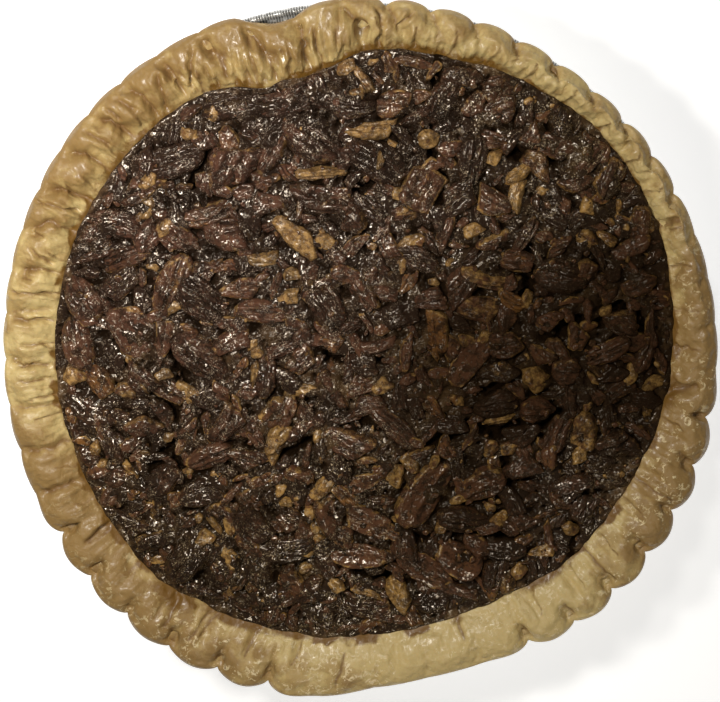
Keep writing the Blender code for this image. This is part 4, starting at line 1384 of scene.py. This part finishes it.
        (227, 597, 80, 6, 3, 0.75, 0.6), (250, 590, 60, 4.4, 3, 0.75, 0.5), (490, 509, -10, 4.4, 3.4, 0.75, 0.8),
        (402, 520, -5, 7, 3.4, 0.85, 0.7), (128, 361, -60, 4.4, 2.6, 0.9, 0.9), (174, 308, 50, 5.5, 4, 0.9, 0.95),
        (130, 310, 5, 7, 2.6, 0.95, 0.4), (373, 62, 20, 4.2, 2.6, 0.75, 0.6), (358, 92, -30, 5, 4, 0.8, 0.6),
        (450, 264, 50, 4, 3, 0.75, 0.6), (434, 283, 0, 4, 3, 0.7, 0.5), (372, 247, 0, 3.6, 2.6, 0.75, 0.7),
        (402, 265, 85, 5.5, 2.4, 0.75, 0.7), (660, 225, 60, 5, 3.6, 0.7, 0.5), (640, 215, 10, 5, 3.4, 0.7, 0.4),
    ),
    Kind.DISC: (
        (429, 140, 10, 7.4, 6.4, 0.9, 1.0), (325, 242, 0, 6.6, 5.8, 0.9, 1.0), (626, 229, 0, 3.2, 3.0, 0.8, 0.8),
        (215, 476, 0, 3.8, 3.4, 0.7, 0.7),
    ),
}

# Gaps between pieces that show nearly black, as runs of (across, down) pixels with a half width in mm; they are cut
# into the syrup and painted dark as shade
CREVICES: tuple[tuple[float, tuple[tuple[float, float], ...]], ...] = (
    (1.1, ((326, 357), (345, 361), (362, 356), (384, 362))),
    (1.8, ((402, 466), (420, 448), (448, 438), (470, 426), (500, 436), (516, 428))),
    (1.6, ((500, 503), (512, 480), (505, 462))),
    (1.5, ((470, 503), (490, 498), (508, 484))),
    (1.6, ((600, 326), (622, 306), (640, 320), (644, 340), (632, 352))),
    (1.8, ((528, 246), (530, 290), (522, 300))),
    (2.0, ((505, 148), (528, 158), (552, 160))),
    (1.5, ((536, 436), (548, 424), (560, 414))),
    (1.5, ((486, 392), (500, 384))),
    (1.5, ((555, 350), (560, 330), (582, 322))),
    (1.4, ((190, 186), (198, 168), (204, 150))),
    (1.6, ((152, 470), (170, 448), (180, 470))),
    (1.4, ((280, 458), (300, 448), (314, 440))),
    (1.5, ((358, 574), (386, 580), (392, 566))),
    (1.3, ((400, 540), (440, 538), (480, 534), (520, 540))),
    (1.3, ((440, 40), (430, 150), (445, 185))),
    (1.4, ((150, 392), (165, 400), (175, 420))),
    (1.2, ((180, 380), (172, 350))),
    (1.2, ((345, 168), (348, 190), (372, 186))),
    (1.2, ((572, 560), (590, 470), (600, 478))),
)


# Where the syrup closed over the pecans as a crackled skin, as (across, down) pixels and a radius in mm
SKINS: tuple[tuple[float, float, float], ...] = (
    (265, 112, 15), (330, 92, 13), (105, 235, 11), (430, 105, 12), (605, 175, 20), (560, 130, 12), (290, 170, 9),
    (185, 540, 17), (250, 590, 18), (330, 615, 14), (140, 490, 10), (615, 480, 13), (590, 530, 9),
    (330, 400, 10), (440, 380, 9), (650, 260, 10),
)


@dataclass
class Placed:
    """A piece that lies in the filling, with its middle, its turn and its height."""

    piece: Piece
    middle: Array
    turned: Matrix
    height: float


@dataclass
class Filling:
    """The syrup with its pecans: the level that they lie in, and every piece that is placed."""

    view: View
    dome: float = 2.4
    lump: float = 1.1
    lump_size: float = 22.0
    reference_level: float = 33.5
    seed: int = 42
    fillers: int = 470
    tries: int = 30
    crumbs: int = 800
    map_half: float = 112.0
    map_step: float = 0.5
    map_blur: float = 3.0
    shallow: float = 0.1
    deepest: float = 2.1
    over_foot: float = 0.3
    headings: Array = field(default_factory=lambda: np.radians(np.arange(0.0, 360.0, 30.0)))
    surroundings: Array = field(default_factory=lambda: np.zeros((1, 1)))
    placed: list[Placed] = field(default_factory=list)
    forms: list[tuple[float, ...]] = field(default_factory=list)

    def level(self, x: Array, y: Array) -> Array:
        """Height of the syrup's dome at places in the plane."""
        degrees, radius = polar(x, y)
        share = np.minimum(1.0, radius / CRUST_FOOT.radius(degrees))
        size = self.lump_size
        flat = zip(np.ravel(x), np.ravel(y))
        lumps = np.array([noise.noise(Vector((a / size, b / size, 0.0))) for a, b in flat]).reshape(np.shape(x))
        return FILL_EDGE_LEVEL + (1.0 - share**2.5) * (self.dome + self.lump * lumps)

    def crevices(self, x: Array, y: Array, rough: float = 1.1) -> Array:
        """How deep in one of the marked crevices each place is.

        Args:
            x: the places' x.
            y: the places' y.
            rough: how uneven the crevices' sides are, in millimetres.

        Returns:
            Shares from 0 beside them to 1 in them.
        """
        deep = np.zeros_like(x)
        wave = rough * Noise(61).layers(stacked(x, y, 0.0) / 2.6, 2)
        for half_width, run in CREVICES:
            spots = np.array([self.view.spot(*spot, self.reference_level) for spot in run])
            for start, end in zip(spots, spots[1:]):
                line = end - start
                share = np.clip(((x - start[0]) * line[0] + (y - start[1]) * line[1]) / (line @ line), 0.0, 1.0)
                away = np.hypot(x - start[0] - share * line[0], y - start[1] - share * line[1])
                deep = np.maximum(deep, ramp(away + wave, half_width * 1.3, half_width * 0.4))
        return deep

    def skin(self, x: Array, y: Array) -> Array:
        """How far the syrup closed over the pecans at places in the plane, as a share."""
        closed = np.zeros_like(x)
        for across, down, radius in SKINS:
            spot = self.view.spot(across, down, self.reference_level)
            closed = np.maximum(closed, ramp(np.hypot(x - spot[0], y - spot[1]), radius, 0.55 * radius))
        return closed

    def tops(self, x: Array, y: Array, spread: float = 1.0) -> Array:
        """Height of the highest large piece placed so far at each place, or -1 beside them all."""
        if not self.forms:
            return np.full(np.shape(x), -1.0)
        forms = np.array(self.forms).T
        best = np.full(np.shape(x), -1.0)
        size = 4000
        for first in range(0, len(x), size):
            part = slice(first, first + size)
            dx, dy = x[part, None] - forms[0], y[part, None] - forms[1]
            far = ((dx * forms[3] + dy * forms[4]) / (forms[5] * spread)) ** 2
            far += ((dy * forms[3] - dx * forms[4]) / (forms[6] * spread)) ** 2
            crown = forms[2] + forms[7] * np.sqrt(np.clip(1.0 - far, 0.0, 1.0))
            best[part] = np.where(far < 1.0, crown, -1.0).max(axis=1)
        return best

    def survey(self) -> None:
        """Maps the mean height round each place, from which the hollows are told."""
        steps = np.arange(-self.map_half, self.map_half + 0.5 * self.map_step, self.map_step)
        y, x = np.meshgrid(steps, steps, indexing="ij")
        heights = np.maximum(self.level(x, y).ravel(), self.tops(x.ravel(), y.ravel()))
        reach = np.fft.fftfreq(len(steps), self.map_step)
        blur = np.exp(-2.0 * (np.pi * self.map_blur * np.hypot(*np.meshgrid(reach, reach))) ** 2)
        self.surroundings = np.fft.ifft2(np.fft.fft2(heights.reshape(x.shape)) * blur).real

    def hollow(self, points: Array) -> Array:
        """How far each point lies below the mean height round it, as a share from 0 to 1."""
        cells = np.rint((points[:, :2] + self.map_half) / self.map_step).astype(int)
        across, up = np.clip(cells, 0, len(self.surroundings) - 1).T
        return ramp(self.surroundings[up, across] - points[:, 2], self.shallow, self.deepest)

    def lay(self, piece: Piece, spot: Array, under: float, draw: random.Random, sunk: float) -> None:
        """Lays a piece at a place and level.

        Args:
            piece: the piece.
            spot: its middle's x and y.
            under: height of what it lies on.
            draw: source of its small tilts.
            sunk: share of its height below that.
        """
        height = FORMS[piece.kind].share * piece.width
        turned = Matrix.Rotation(math.radians(piece.turn), 3, "Z")
        turned @= Matrix.Rotation(math.radians(draw.uniform(-9.0, 9.0)), 3, "Y")
        turned @= Matrix.Rotation(math.radians(draw.uniform(-20.0, 20.0)), 3, "X")
        turns = math.radians(piece.turn) + self.headings
        reach = on_circle(np.degrees(turns), np.hypot(
            0.5 * piece.length * np.cos(self.headings), 0.5 * piece.width * np.sin(self.headings)), 0.0)
        degrees, radius = polar(*(spot + reach[:, :2]).T)
        over = max(0.0, float((radius - CRUST_FOOT.radius(degrees)).max()) - self.over_foot)
        spot = spot * (1.0 - over / float(np.hypot(*spot)))
        middle = np.array([spot[0], spot[1], under - sunk * height])
        self.placed.append(Placed(piece, middle, turned, height))
        if piece.large:
            along = np.array(turned.col[0][:2])
            along /= np.linalg.norm(along)
            self.forms.append((*middle, *along, 0.5 * piece.length, 0.5 * piece.width, height))

    def place(self, piece: Piece, spot: Array, draw: random.Random, sunk: float) -> None:
        """Lays a piece on the syrup or on what it rests on.

        Args:
            piece: the piece.
            spot: its middle's x and y.
            draw: source of its small tilts.
            sunk: share of its height below the surface.
        """
        x, y = np.array([spot[0]]), np.array([spot[1]])
        under, top = float(self.level(x, y)[0]), float(self.tops(x, y)[0])
        if top > under:
            under += (0.35 if piece.large else 0.95) * (top - under)
        self.lay(piece, spot, under, draw, sunk)

    def lay_landmarks(self) -> None:
        """Lays the pieces that stand out, the largest kinds first."""
        draw = random.Random(self.seed)
        for kind, rows in LANDMARKS.items():
            for row in rows:
                piece = Piece(kind, *row)
                spot = np.array(self.view.spot(piece.across, piece.down, self.reference_level))
                self.place(piece, spot, draw, 0.26 if piece.large else 0.22)

    def lay_fillers(self) -> None:
        """Fills the room that is left with darker pieces, each where it has the most room."""
        draw = random.Random(self.seed + 1)
        for index in range(self.fillers):
            length = draw.uniform(8.0, 17.0) * (1.0 - 0.62 * index / self.fillers)
            width = length * draw.uniform(0.42, 0.78)
            kind = draw.choice((Kind.BROKEN, Kind.BROKEN, Kind.BROKEN, Kind.SLIVER, Kind.CHUNK))
            if length < 7.0:
                kind = draw.choice((Kind.CHIP, Kind.CHIP, Kind.CHUNK, Kind.SLIVER))
            if kind is Kind.SLIVER:
                width = length * draw.uniform(0.25, 0.36)
            turn = draw.uniform(0.0, 360.0)
            tone, bare = draw.betavariate(1.3, 2.6), 0.50 * draw.random() ** 6
            middles = np.array([entry.middle[:2] for entry in self.placed])
            reaches = np.array([0.25 * (entry.piece.length + entry.piece.width) for entry in self.placed])
            best, most = None, 0.34
            for _ in range(self.tries):
                degrees = draw.uniform(0.0, 360.0)
                reach = float(CRUST_FOOT.radius(degrees)) - 0.3 * width
                spot = on_circle(degrees, reach * math.sqrt(draw.random()), 0.0)[:2]
                room = float(np.min(np.hypot(*(middles - spot).T) / (reaches + 0.25 * (length + width))))
                if room > most:
                    best, most = spot, room
            if best is None or self.crevices(best[:1], best[1:], 0.0)[0] > 0.3:
                continue
            piece = Piece(kind, 0.0, 0.0, turn, length, width, tone, bare)
            self.place(piece, best, draw, 0.36)

    def lay_crumbs(self) -> None:
        """Strews small crumbs over the whole."""
        draw = random.Random(self.seed + 2)
        degrees = np.array([draw.uniform(0.0, 360.0) for _ in range(self.crumbs)])
        shares = np.array([math.sqrt(draw.random()) for _ in range(self.crumbs)])
        x, y, _ = on_circle(degrees, (CRUST_FOOT.radius(degrees) - 1.5) * shares, 0.0).T
        under = np.maximum(self.level(x, y), self.tops(x, y))
        for spot, level in zip(np.stack([x, y], axis=1), under):
            length = draw.uniform(1.2, 3.05)
            width = length * draw.uniform(0.5, 0.9)
            tone, bare = draw.uniform(0.1, 0.7), 0.9 * draw.random() ** 9
            crumb = Piece(Kind.CHIP, 0.0, 0.0, draw.uniform(0.0, 360.0), length, width, tone, bare)
            self.lay(crumb, spot, float(level), draw, 0.45)


@dataclass
class SyrupCore:
    """The baked syrup: a bumpy, cracked surface that climbs round the pecans, over a plain body."""

    filling: Filling
    cells: int = 290
    edge_overlap: float = 3.0
    shore: float = 5.0
    dip: float = 2.4
    hug_spread: float = 1.07
    bare_top: float = 1.45
    blend: float = 2.6
    crevice_depth: float = 3.2
    floor_radius: float = 77.8
    floor_level: float = 5.5

    def disc(self) -> tuple[Array, Array, Array]:
        """A square grid bent into a disc, so that its cells are nearly even.

        Returns:
            Each point's angle and share of the radius, and the faces.
        """
        steps = np.linspace(-1.0, 1.0, self.cells + 1)
        b, a = np.meshgrid(steps, steps, indexing="ij")
        wide = np.abs(a) > np.abs(b)
        share = np.where(wide, np.abs(a), np.abs(b))
        safe_a, safe_b = np.where(a == 0.0, 1e-12, a), np.where(b == 0.0, 1e-12, b)
        turn = np.where(wide, 45.0 * b / safe_a, 90.0 - 45.0 * a / safe_b)
        turn = np.where(np.where(wide, a, b) < 0.0, turn + 180.0, turn)
        side = self.cells + 1
        row, column = np.meshgrid(np.arange(self.cells), np.arange(self.cells), indexing="ij")
        first = row * side + column
        faces = np.stack([first, first + 1, first + side + 1, first + side], axis=-1).reshape(-1, 4)
        return turn.ravel() % 360.0, share.ravel(), faces

    def border(self) -> Array:
        """Numbers of the grid's outer points, anticlockwise from the lower left corner."""
        side = self.cells + 1
        low = np.arange(side - 1)
        right = low * side + side - 1
        top = (side - 1) * side + side - 1 - low
        left = (side - 1 - low) * side
        return np.concatenate([low, right, top, left])

    def relief(self, places: Array, share: Array, rim: Array, lumps: Array) -> tuple[Array, Array]:
        """Height of the surface, which climbs round the pecans and dips under the crust past its foot.

        Args:
            places: places in the plane, shape (n, 3).
            share: their shares of the way out.
            rim: how far inside the crust's foot they are.
            lumps: noise at them.

        Returns:
            The heights, and how far in a pit or crevice each place is, which is painted dark as shade.
        """
        x, y = places[:, 0], places[:, 1]
        folds = Noise(3).layers(places / 6.0, 3)
        wrinkles = Noise(7).ridges(places / 2.9, 2)
        height = self.filling.level(x, y) + folds + 0.45 * lumps + 0.55 * (wrinkles - 0.5)
        hug = self.filling.tops(x, y, self.hug_spread)
        sticking = self.bare_top - 1.6 * self.filling.skin(x, y) + 4.0 * ramp(rim, self.shore, 1.0)
        climb = np.where(hug > 0.0, hug - sticking + 0.9 * lumps + 0.7 * folds, -9.0)
        height = np.logaddexp(height * self.blend, climb * self.blend) / self.blend
        pore = Noise(13).spots(places / 3.1, 0.26, 0.14, 0.80)
        small = Noise(17).spots(places / 1.5, 0.30, 0.16, 0.84)
        crevice = self.filling.crevices(x, y)
        height -= ramp(share, 0.97, 0.92) * (1.3 * pore + 0.6 * small + self.crevice_depth * crevice)
        edge = FILL_EDGE_LEVEL + 0.70 + 0.9 * Noise(19).layers(places / 8.0, 2) + 0.2 * lumps
        near = ramp(rim, self.shore, 0.0)
        height = height * (1.0 - near) + near * edge
        return height - self.dip * ramp(rim, -0.3, -1.7), 0.9 * pore + 0.7 * small + crevice

    def body(self, degrees: Array, first: int) -> tuple[Array, list[Array]]:
        """The plain body under the surface.

        Args:
            degrees: angle of each point of the surface.
            first: number that its own points start at.

        Returns:
            Its points, shape (n, 3), and its face arrays.
        """
        ring = self.border()
        count = len(ring)
        angle = degrees[ring]
        wall = on_circle(angle, CRUST_FOOT.radius(angle) - 1.6, 26.0)
        floor = on_circle(angle, self.floor_radius, self.floor_level)
        beside = np.roll(np.arange(count), -1)
        upper, lower = first + np.arange(count), first + count + np.arange(count)
        faces = [
            np.stack([ring, upper, upper[beside], ring[beside]], axis=1),
            np.stack([upper, lower, lower[beside], upper[beside]], axis=1),
            np.stack([np.full(count, first + 2 * count), lower[beside], lower], axis=1),
        ]
        return np.concatenate([wall, floor, [[0.0, 0.0, self.floor_level]]]), faces

    def build(self) -> None:
        """Makes the core's mesh, with masks for its froth and for painted shade in its pits, crevices and hollows."""
        degrees, share, faces = self.disc()
        foot = CRUST_FOOT.radius(degrees)
        places = on_circle(degrees, share * (foot + self.edge_overlap), 0.0)
        rim = foot - np.hypot(places[:, 0], places[:, 1])
        lumps = Noise(5).layers(places / 2.6, 2)
        froth = 0.18 + 0.35 * Noise(27).layers(places / 16.0, 2)
        froth += 0.25 * hump(np.hypot(places[:, 0] - 5.0, places[:, 1] + 2.0), 40.0)
        froth += 0.40 * ramp(rim, 3.6, 0.6) * (0.6 + 0.8 * lumps)
        height, pit_shade = self.relief(places, share, rim, lumps)
        places[:, 2] = height
        # Painted shade in pits, crevices and hollows, and a little along the crust's foot.
        deep = np.clip(pit_shade + 0.9 * self.filling.hollow(places) + 0.12 * ramp(rim, 2.2, 0.4), 0.0, 1.0)
        below, walls = self.body(degrees, len(places))
        masks = {name: np.pad(value, (0, len(below))) for name, value in (("froth", froth), ("deep", deep))}
        surface = Surface(masks=tuple(masks))
        surface.add(np.concatenate([places, below]), [faces, *walls], **masks)
        surface.build("syrup", GlazeFinish().material(), "pecan_filling", "filling")


@dataclass
class Blank:
    """A pecan piece before its relief, as rings from its underside up to the middle of its top.

    x and y are shares of half its length and width. out is each ring's share of the way out, and flat
    its share of the height. broken tells where its sides are broken. draw gives its own unevenness.
    """

    piece: Piece
    height: float
    x: Array
    y: Array
    out: Array
    flat: Array
    broken: Array
    noise: Noise
    draw: random.Random

    def rough(self, size: float, shift: float, octaves: int = 2) -> Array:
        """Noise over the piece, with features of a size in millimetres."""
        x, y = self.x * 0.5 * self.piece.length, self.y * 0.5 * self.piece.width
        return self.noise.layers(stacked(x / size, y / size, self.flat * self.height / size + shift), octaves)

    def grooves(self) -> tuple[Array, Array, Array]:
        """Where each place is across the middle line, how far in its groove, and in those beside it."""
        draw, grooved = self.draw, FORMS[self.piece.kind].grooved
        line = self.y + draw.uniform(-0.14, 0.14) + 0.10 * np.sin(2.2 * self.x + draw.uniform(0.0, 6.0))
        line = line + 0.10 * self.rough(5.0, 3.0, 1)
        if self.piece.kind in LONG_BREAKS:
            line = 0.8 * line + draw.uniform(-0.7, 0.7)
        beside = hump(np.abs(line) - draw.uniform(0.42, 0.58), 0.10)
        return line, hump(line, 0.12) * grooved, beside * grooved

    def lifted(self, line: Array, middle: Array, beside: Array) -> tuple[Array, Array]:
        """Share of the plain height that each place has, and how far it is on a break's step.

        Args:
            line: where it is across the middle line.
            middle: how far it is in the middle groove.
            beside: how far it is in those beside it.

        Returns:
            Both, each shape (rings, sides).
        """
        kind, out, draw = self.piece.kind, self.out, self.draw
        lift = 1.0 + draw.uniform(-0.3, 0.3) * self.x + draw.uniform(-0.3, 0.3) * self.y
        if kind is Kind.INSIDE:
            lift = lift * (0.66 + 0.34 * np.minimum(out, 1.0) ** 3 + 0.14 * hump(line, 0.14))
        elif kind is Kind.DISC:
            lift = lift - 0.16 * hump(out - 0.66, 0.10) - 0.10 * hump(out, 0.3)
        else:
            lift = lift - 0.26 * middle - 0.17 * beside
        stepped = np.zeros_like(self.x)
        if kind in (Kind.BROKEN, Kind.CHUNK) and draw.random() < 0.6:
            heading, level = draw.uniform(0.0, 6.3), draw.uniform(-0.2, 0.35)
            past = self.x * math.cos(heading) + self.y * math.sin(heading) + 0.10 * self.rough(2.5, 9.0) - level
            lift = lift - draw.uniform(0.2, 0.4) * ramp(past, 0.0, 0.16)
            stepped = hump(past - 0.08, 0.09)
        return lift, stepped

    def bared(self, stepped: Array) -> Array:
        """How much ochre flesh shows at each place, which may lie on a break's step."""
        piece = self.piece
        edge = ramp(np.broadcast_to(self.out, self.x.shape), 0.74, 0.92) * (self.flat > -0.2)
        shown = (0.25 + 0.90 * piece.tone) * self.draw.random() ** 0.6
        bare = np.full_like(self.x, piece.bare)
        if piece.bare > 0.1:
            bare *= 1.0 + (0.5 if piece.large else 0.9) * self.rough(2.2, 17.0, 1)
        bare = np.maximum(bare, shown * np.maximum(edge * self.broken, 0.8 * stepped))
        chipped = edge * ramp(self.rough(2.4, 23.0, 1), 0.06, 0.34)
        bare = np.maximum(bare, (0.20 + 0.85 * piece.tone) * chipped)
        if piece.kind in (Kind.HALF, Kind.INSIDE):
            tips = ramp(np.abs(self.x), 0.78, 0.96) * self.draw.uniform(0.0, 1.1)
            bare = np.maximum(bare, tips * (0.25 + piece.tone))
        return np.clip(bare, 0.0, 1.0)


@dataclass
class Pecans:
    """The pecan pieces of some kinds, joined in one mesh."""

    name: str
    kinds: tuple[Kind, ...]
    seed: int
    crumbs: bool = False
    glaze: float = 0.22
    rim_room: float = 1.5
    rim_slope: float = 1.1

    def outline(self, piece: Piece, turn: Array, draw: random.Random) -> tuple[Array, Array, Array]:
        """The piece's outline, with straight breaks.

        Args:
            piece: the piece.
            turn: angle of each side.
            draw: source of its own unevenness.

        Returns:
            x and y of each side as shares of half the length and width, and where it is broken.
        """
        form = FORMS[piece.kind]
        cosine, sine = np.cos(turn), np.sin(turn)
        reach = (np.abs(cosine) ** form.square + np.abs(sine) ** form.square) ** (-1.0 / form.square)
        broken = np.zeros_like(turn)
        for index in range(form.cuts):
            facing, limit = draw.uniform(0.0, 2.0 * math.pi), draw.uniform(form.nearest, form.farthest)
            if index == 0 and piece.kind in LONG_BREAKS:
                facing, limit = draw.gauss(0.0, 0.35), draw.uniform(0.25, 0.6)
            toward = np.cos(turn - facing)
            stop = np.where(toward > 0.05, limit / np.maximum(toward, 0.05), 9.0)
            broken = np.maximum(broken, ramp(reach - stop, 0.0, 0.04))
            reach = np.minimum(reach, stop)
        x, y = reach * cosine, reach * sine
        y = y * (1.0 - draw.uniform(-0.22, 0.22) * x)
        x, y = (2.0 * (values - values.min()) / np.ptp(values) - 1.0 for values in (x, y))
        return x, y, broken

    def blank(self, piece: Piece, height: float, draw: random.Random) -> Blank:
        """The piece's plain rounded form."""
        sides = max(8, 8 + round(2.5 * piece.length))
        steps = max(3, round(sides / 4.2))
        x, y, broken = self.outline(piece, 2.0 * np.pi * np.arange(sides) / sides, draw)
        inward = np.sin(0.5 * np.pi * np.linspace(1.0, 0.9 / steps, steps)) ** 0.8
        out = np.concatenate([[0.62, 0.93], inward])[:, None]
        edge = FORMS[piece.kind].edge
        flat = (1.0 - np.minimum(out, 1.0) ** edge) ** (1.0 / edge)
        flat[:2, 0] = (-0.5, -0.35)
        return Blank(piece, height, x * out, y * out, out, flat, broken, Noise(draw.randrange(1, 9999)), draw)

    def body(self, piece: Piece, height: float, draw: random.Random) -> tuple[Array, dict[str, Array]]:
        """The piece's surface as rings, from its underside up to the middle of its top.

        Args:
            piece: the piece.
            height: its height over its widest outline.
            draw: source of its own unevenness.

        Returns:
            Rings of points, shape (rings, sides, 3), and masks, each shape (rings, sides).
        """
        blank = self.blank(piece, height, draw)
        grooved, rough = FORMS[piece.kind].grooved, blank.rough
        top = np.clip(blank.flat, 0.0, 1.0)
        line, middle, beside = blank.grooves()
        lift, stepped = blank.lifted(line, middle, beside)
        long, wide = blank.x * 0.5 * piece.length, blank.y * 0.5 * piece.width
        shift = 0.24 if piece.length > 5.0 else 0.12
        bend = draw.uniform(-0.07, 0.07) * piece.length * (1.0 - blank.x**2) if grooved > 0.5 else 0.0
        points = np.stack([
            long + shift * rough(1.5, 11.0),
            wide + bend + shift * rough(1.5, 13.0),
            height * blank.flat * lift + (0.20 * rough(2.6, 5.0) + 0.11 * rough(1.1, 7.0, 1)) * top,
        ], axis=-1)
        masks = {
            "bare": blank.bared(stepped),
            "tone": np.full_like(long, piece.tone),
            # Painted shade in the grooves.
            "furrow_shade": (middle + 0.6 * beside) * top,
            "strand": wide + 0.3 * rough(3.5, 19.0, 1) + 40.0,
            "grooved": np.broadcast_to(grooved * top * draw.choice((0.15, 0.6, 1.0)), long.shape),
        }
        return points, masks

    def settle(self, points: Array, piece: Piece) -> Array:
        """Keeps a piece inside the crust's foot and lays uneven glaze on it.

        Args:
            points: its points, shape (n, 3), which are moved.
            piece: the piece.

        Returns:
            How far each point lay past the foot.
        """
        degrees, radius = polar(points[:, 0], points[:, 1])
        foot = CRUST_FOOT.radius(degrees)
        over = max(0.0, float((radius - foot).max()) + 0.3)
        if piece.length < 6.0 and over > 0.0:
            middle = points[:, :2].mean(axis=0)
            points[:, :2] -= over * middle / math.hypot(*middle)
            radius = np.hypot(points[:, 0], points[:, 1])
        points[:, :2] *= np.minimum(1.0, foot / radius)[:, None]
        bumps = Noise(83).layers(points / 2.3, 2) + 1.3 * Noise(89).layers(points / 6.0, 2)
        points[:, 2] += self.glaze * bumps * (1.0 if piece.length > 4.0 else 0.4)
        highest = FILL_EDGE_LEVEL + self.rim_room + self.rim_slope * np.maximum(0.0, foot - radius)
        points[:, 2] = -np.logaddexp(-2.0 * points[:, 2], -2.0 * highest) / 2.0
        return radius - foot

    def build(self, filling: Filling) -> None:
        """Makes the mesh of all the pieces of these kinds.

        Args:
            filling: where every piece lies.
        """
        draw = random.Random(self.seed)
        surface = Surface(masks=("tone", "furrow_shade", "bare", "strand", "grooved", "deep"))
        for entry in filling.placed:
            if entry.piece.kind not in self.kinds or entry.piece.crumb != self.crumbs:
                continue
            rings, masks = self.body(entry.piece, entry.height, draw)
            points, faces = capped_rings(rings, rings[0].mean(axis=0), rings[-1].mean(axis=0))
            points = points @ np.array(entry.turned).T + entry.middle
            past = self.settle(points, entry.piece)
            masks = {name: np.append(value, [value[0].mean(), value[-1].mean()]) for name, value in masks.items()}
            # Painted shade in hollows between pieces, and a little where a piece reaches the crust's foot.
            deep = np.maximum(filling.hollow(points), 0.15 * ramp(past, -1.4, 0.2))
            surface.add(points, faces, deep=deep, **masks)
        surface.build(self.name, PecanFinish(self.name).material(), "pecan_filling", "filling")


# Stage


@dataclass(frozen=True)
class Lamp:
    """A soft square light."""

    name: str
    place: tuple[float, float, float]
    aim: tuple[float, float, float]
    size: float
    power: float
    colour: Colour = (1.0, 1.0, 1.0)

    def build(self) -> None:
        """Makes the light and points it at its aim."""
        data = bpy.data.lights.new(self.name, "AREA")
        data.size = self.size * MM
        data.energy = self.power
        data.color = self.colour
        lamp = bpy.data.objects.new(self.name, data)
        lamp.location = Vector(self.place) * MM
        lamp.rotation_euler = (Vector(self.aim) - Vector(self.place)).to_track_quat("-Z", "Y").to_euler()
        bpy.context.scene.collection.objects.link(lamp)


@dataclass
class Studio:
    """Pale floor, pale surroundings and soft lights."""

    floor_half: float = 1500.0
    world: float = 0.08
    lamps: tuple[Lamp, ...] = (
        Lamp("key", (-125.0, 88.0, 275.0), (-140.0, 68.0, 30.0), 50.0, 0.64, (1.0, 0.97, 0.91)),
        Lamp("front", (52.0, -205.0, 295.0), (48.0, -115.0, 30.0), 45.0, 0.18, (1.0, 0.94, 0.82)),
        Lamp("back", (10.0, 240.0, 340.0), (10.0, 130.0, 30.0), 50.0, 0.40, (1.0, 0.97, 0.91)),
    )

    def build(self) -> None:
        """Makes the floor, the world and the lights."""
        half = self.floor_half * MM
        mesh = bpy.data.meshes.new("floor")
        mesh.from_pydata([(-half, -half, 0), (half, -half, 0), (half, half, 0), (-half, half, 0)], [], [(0, 1, 2, 3)])
        mesh.materials.append(FloorFinish().material())
        floor = bpy.data.objects.new("floor", mesh)
        floor.location.z = -0.3 * MM
        bpy.context.scene.collection.objects.link(floor)
        world = bpy.data.worlds.new("surroundings")
        world.use_nodes = True
        world.node_tree.nodes["Background"].inputs["Color"].default_value = (1.0, 1.0, 1.0, 1.0)
        world.node_tree.nodes["Background"].inputs["Strength"].default_value = self.world
        bpy.context.scene.world = world
        for lamp in self.lamps:
            lamp.build()
        bpy.context.scene.view_settings.view_transform = "Standard"


def main() -> None:
    """Builds the pie's pieces round the frame, then the stage."""
    logging.basicConfig(level=logging.INFO, format="%(name)s: %(message)s")
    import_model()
    view = View()
    view.build()
    Studio().build()
    FoilTin().build()
    PastryCrust().build()
    filling = Filling(view)
    filling.lay_landmarks()
    filling.lay_fillers()
    filling.survey()
    filling.lay_crumbs()
    SyrupCore(filling).build()
    Pecans("pecan_halves", (Kind.HALF, Kind.INSIDE), 101).build(filling)
    Pecans("broken_pecans", (Kind.BROKEN,), 102).build(filling)
    Pecans("pecan_slivers", (Kind.SLIVER,), 103).build(filling)
    Pecans("pecan_chunks", (Kind.CHUNK, Kind.DISC), 104).build(filling)
    Pecans("pecan_chips", (Kind.CHIP,), 105).build(filling)
    Pecans("pecan_crumbs", (Kind.CHIP,), 106, crumbs=True).build(filling)


if __name__ == "__main__":
    main()
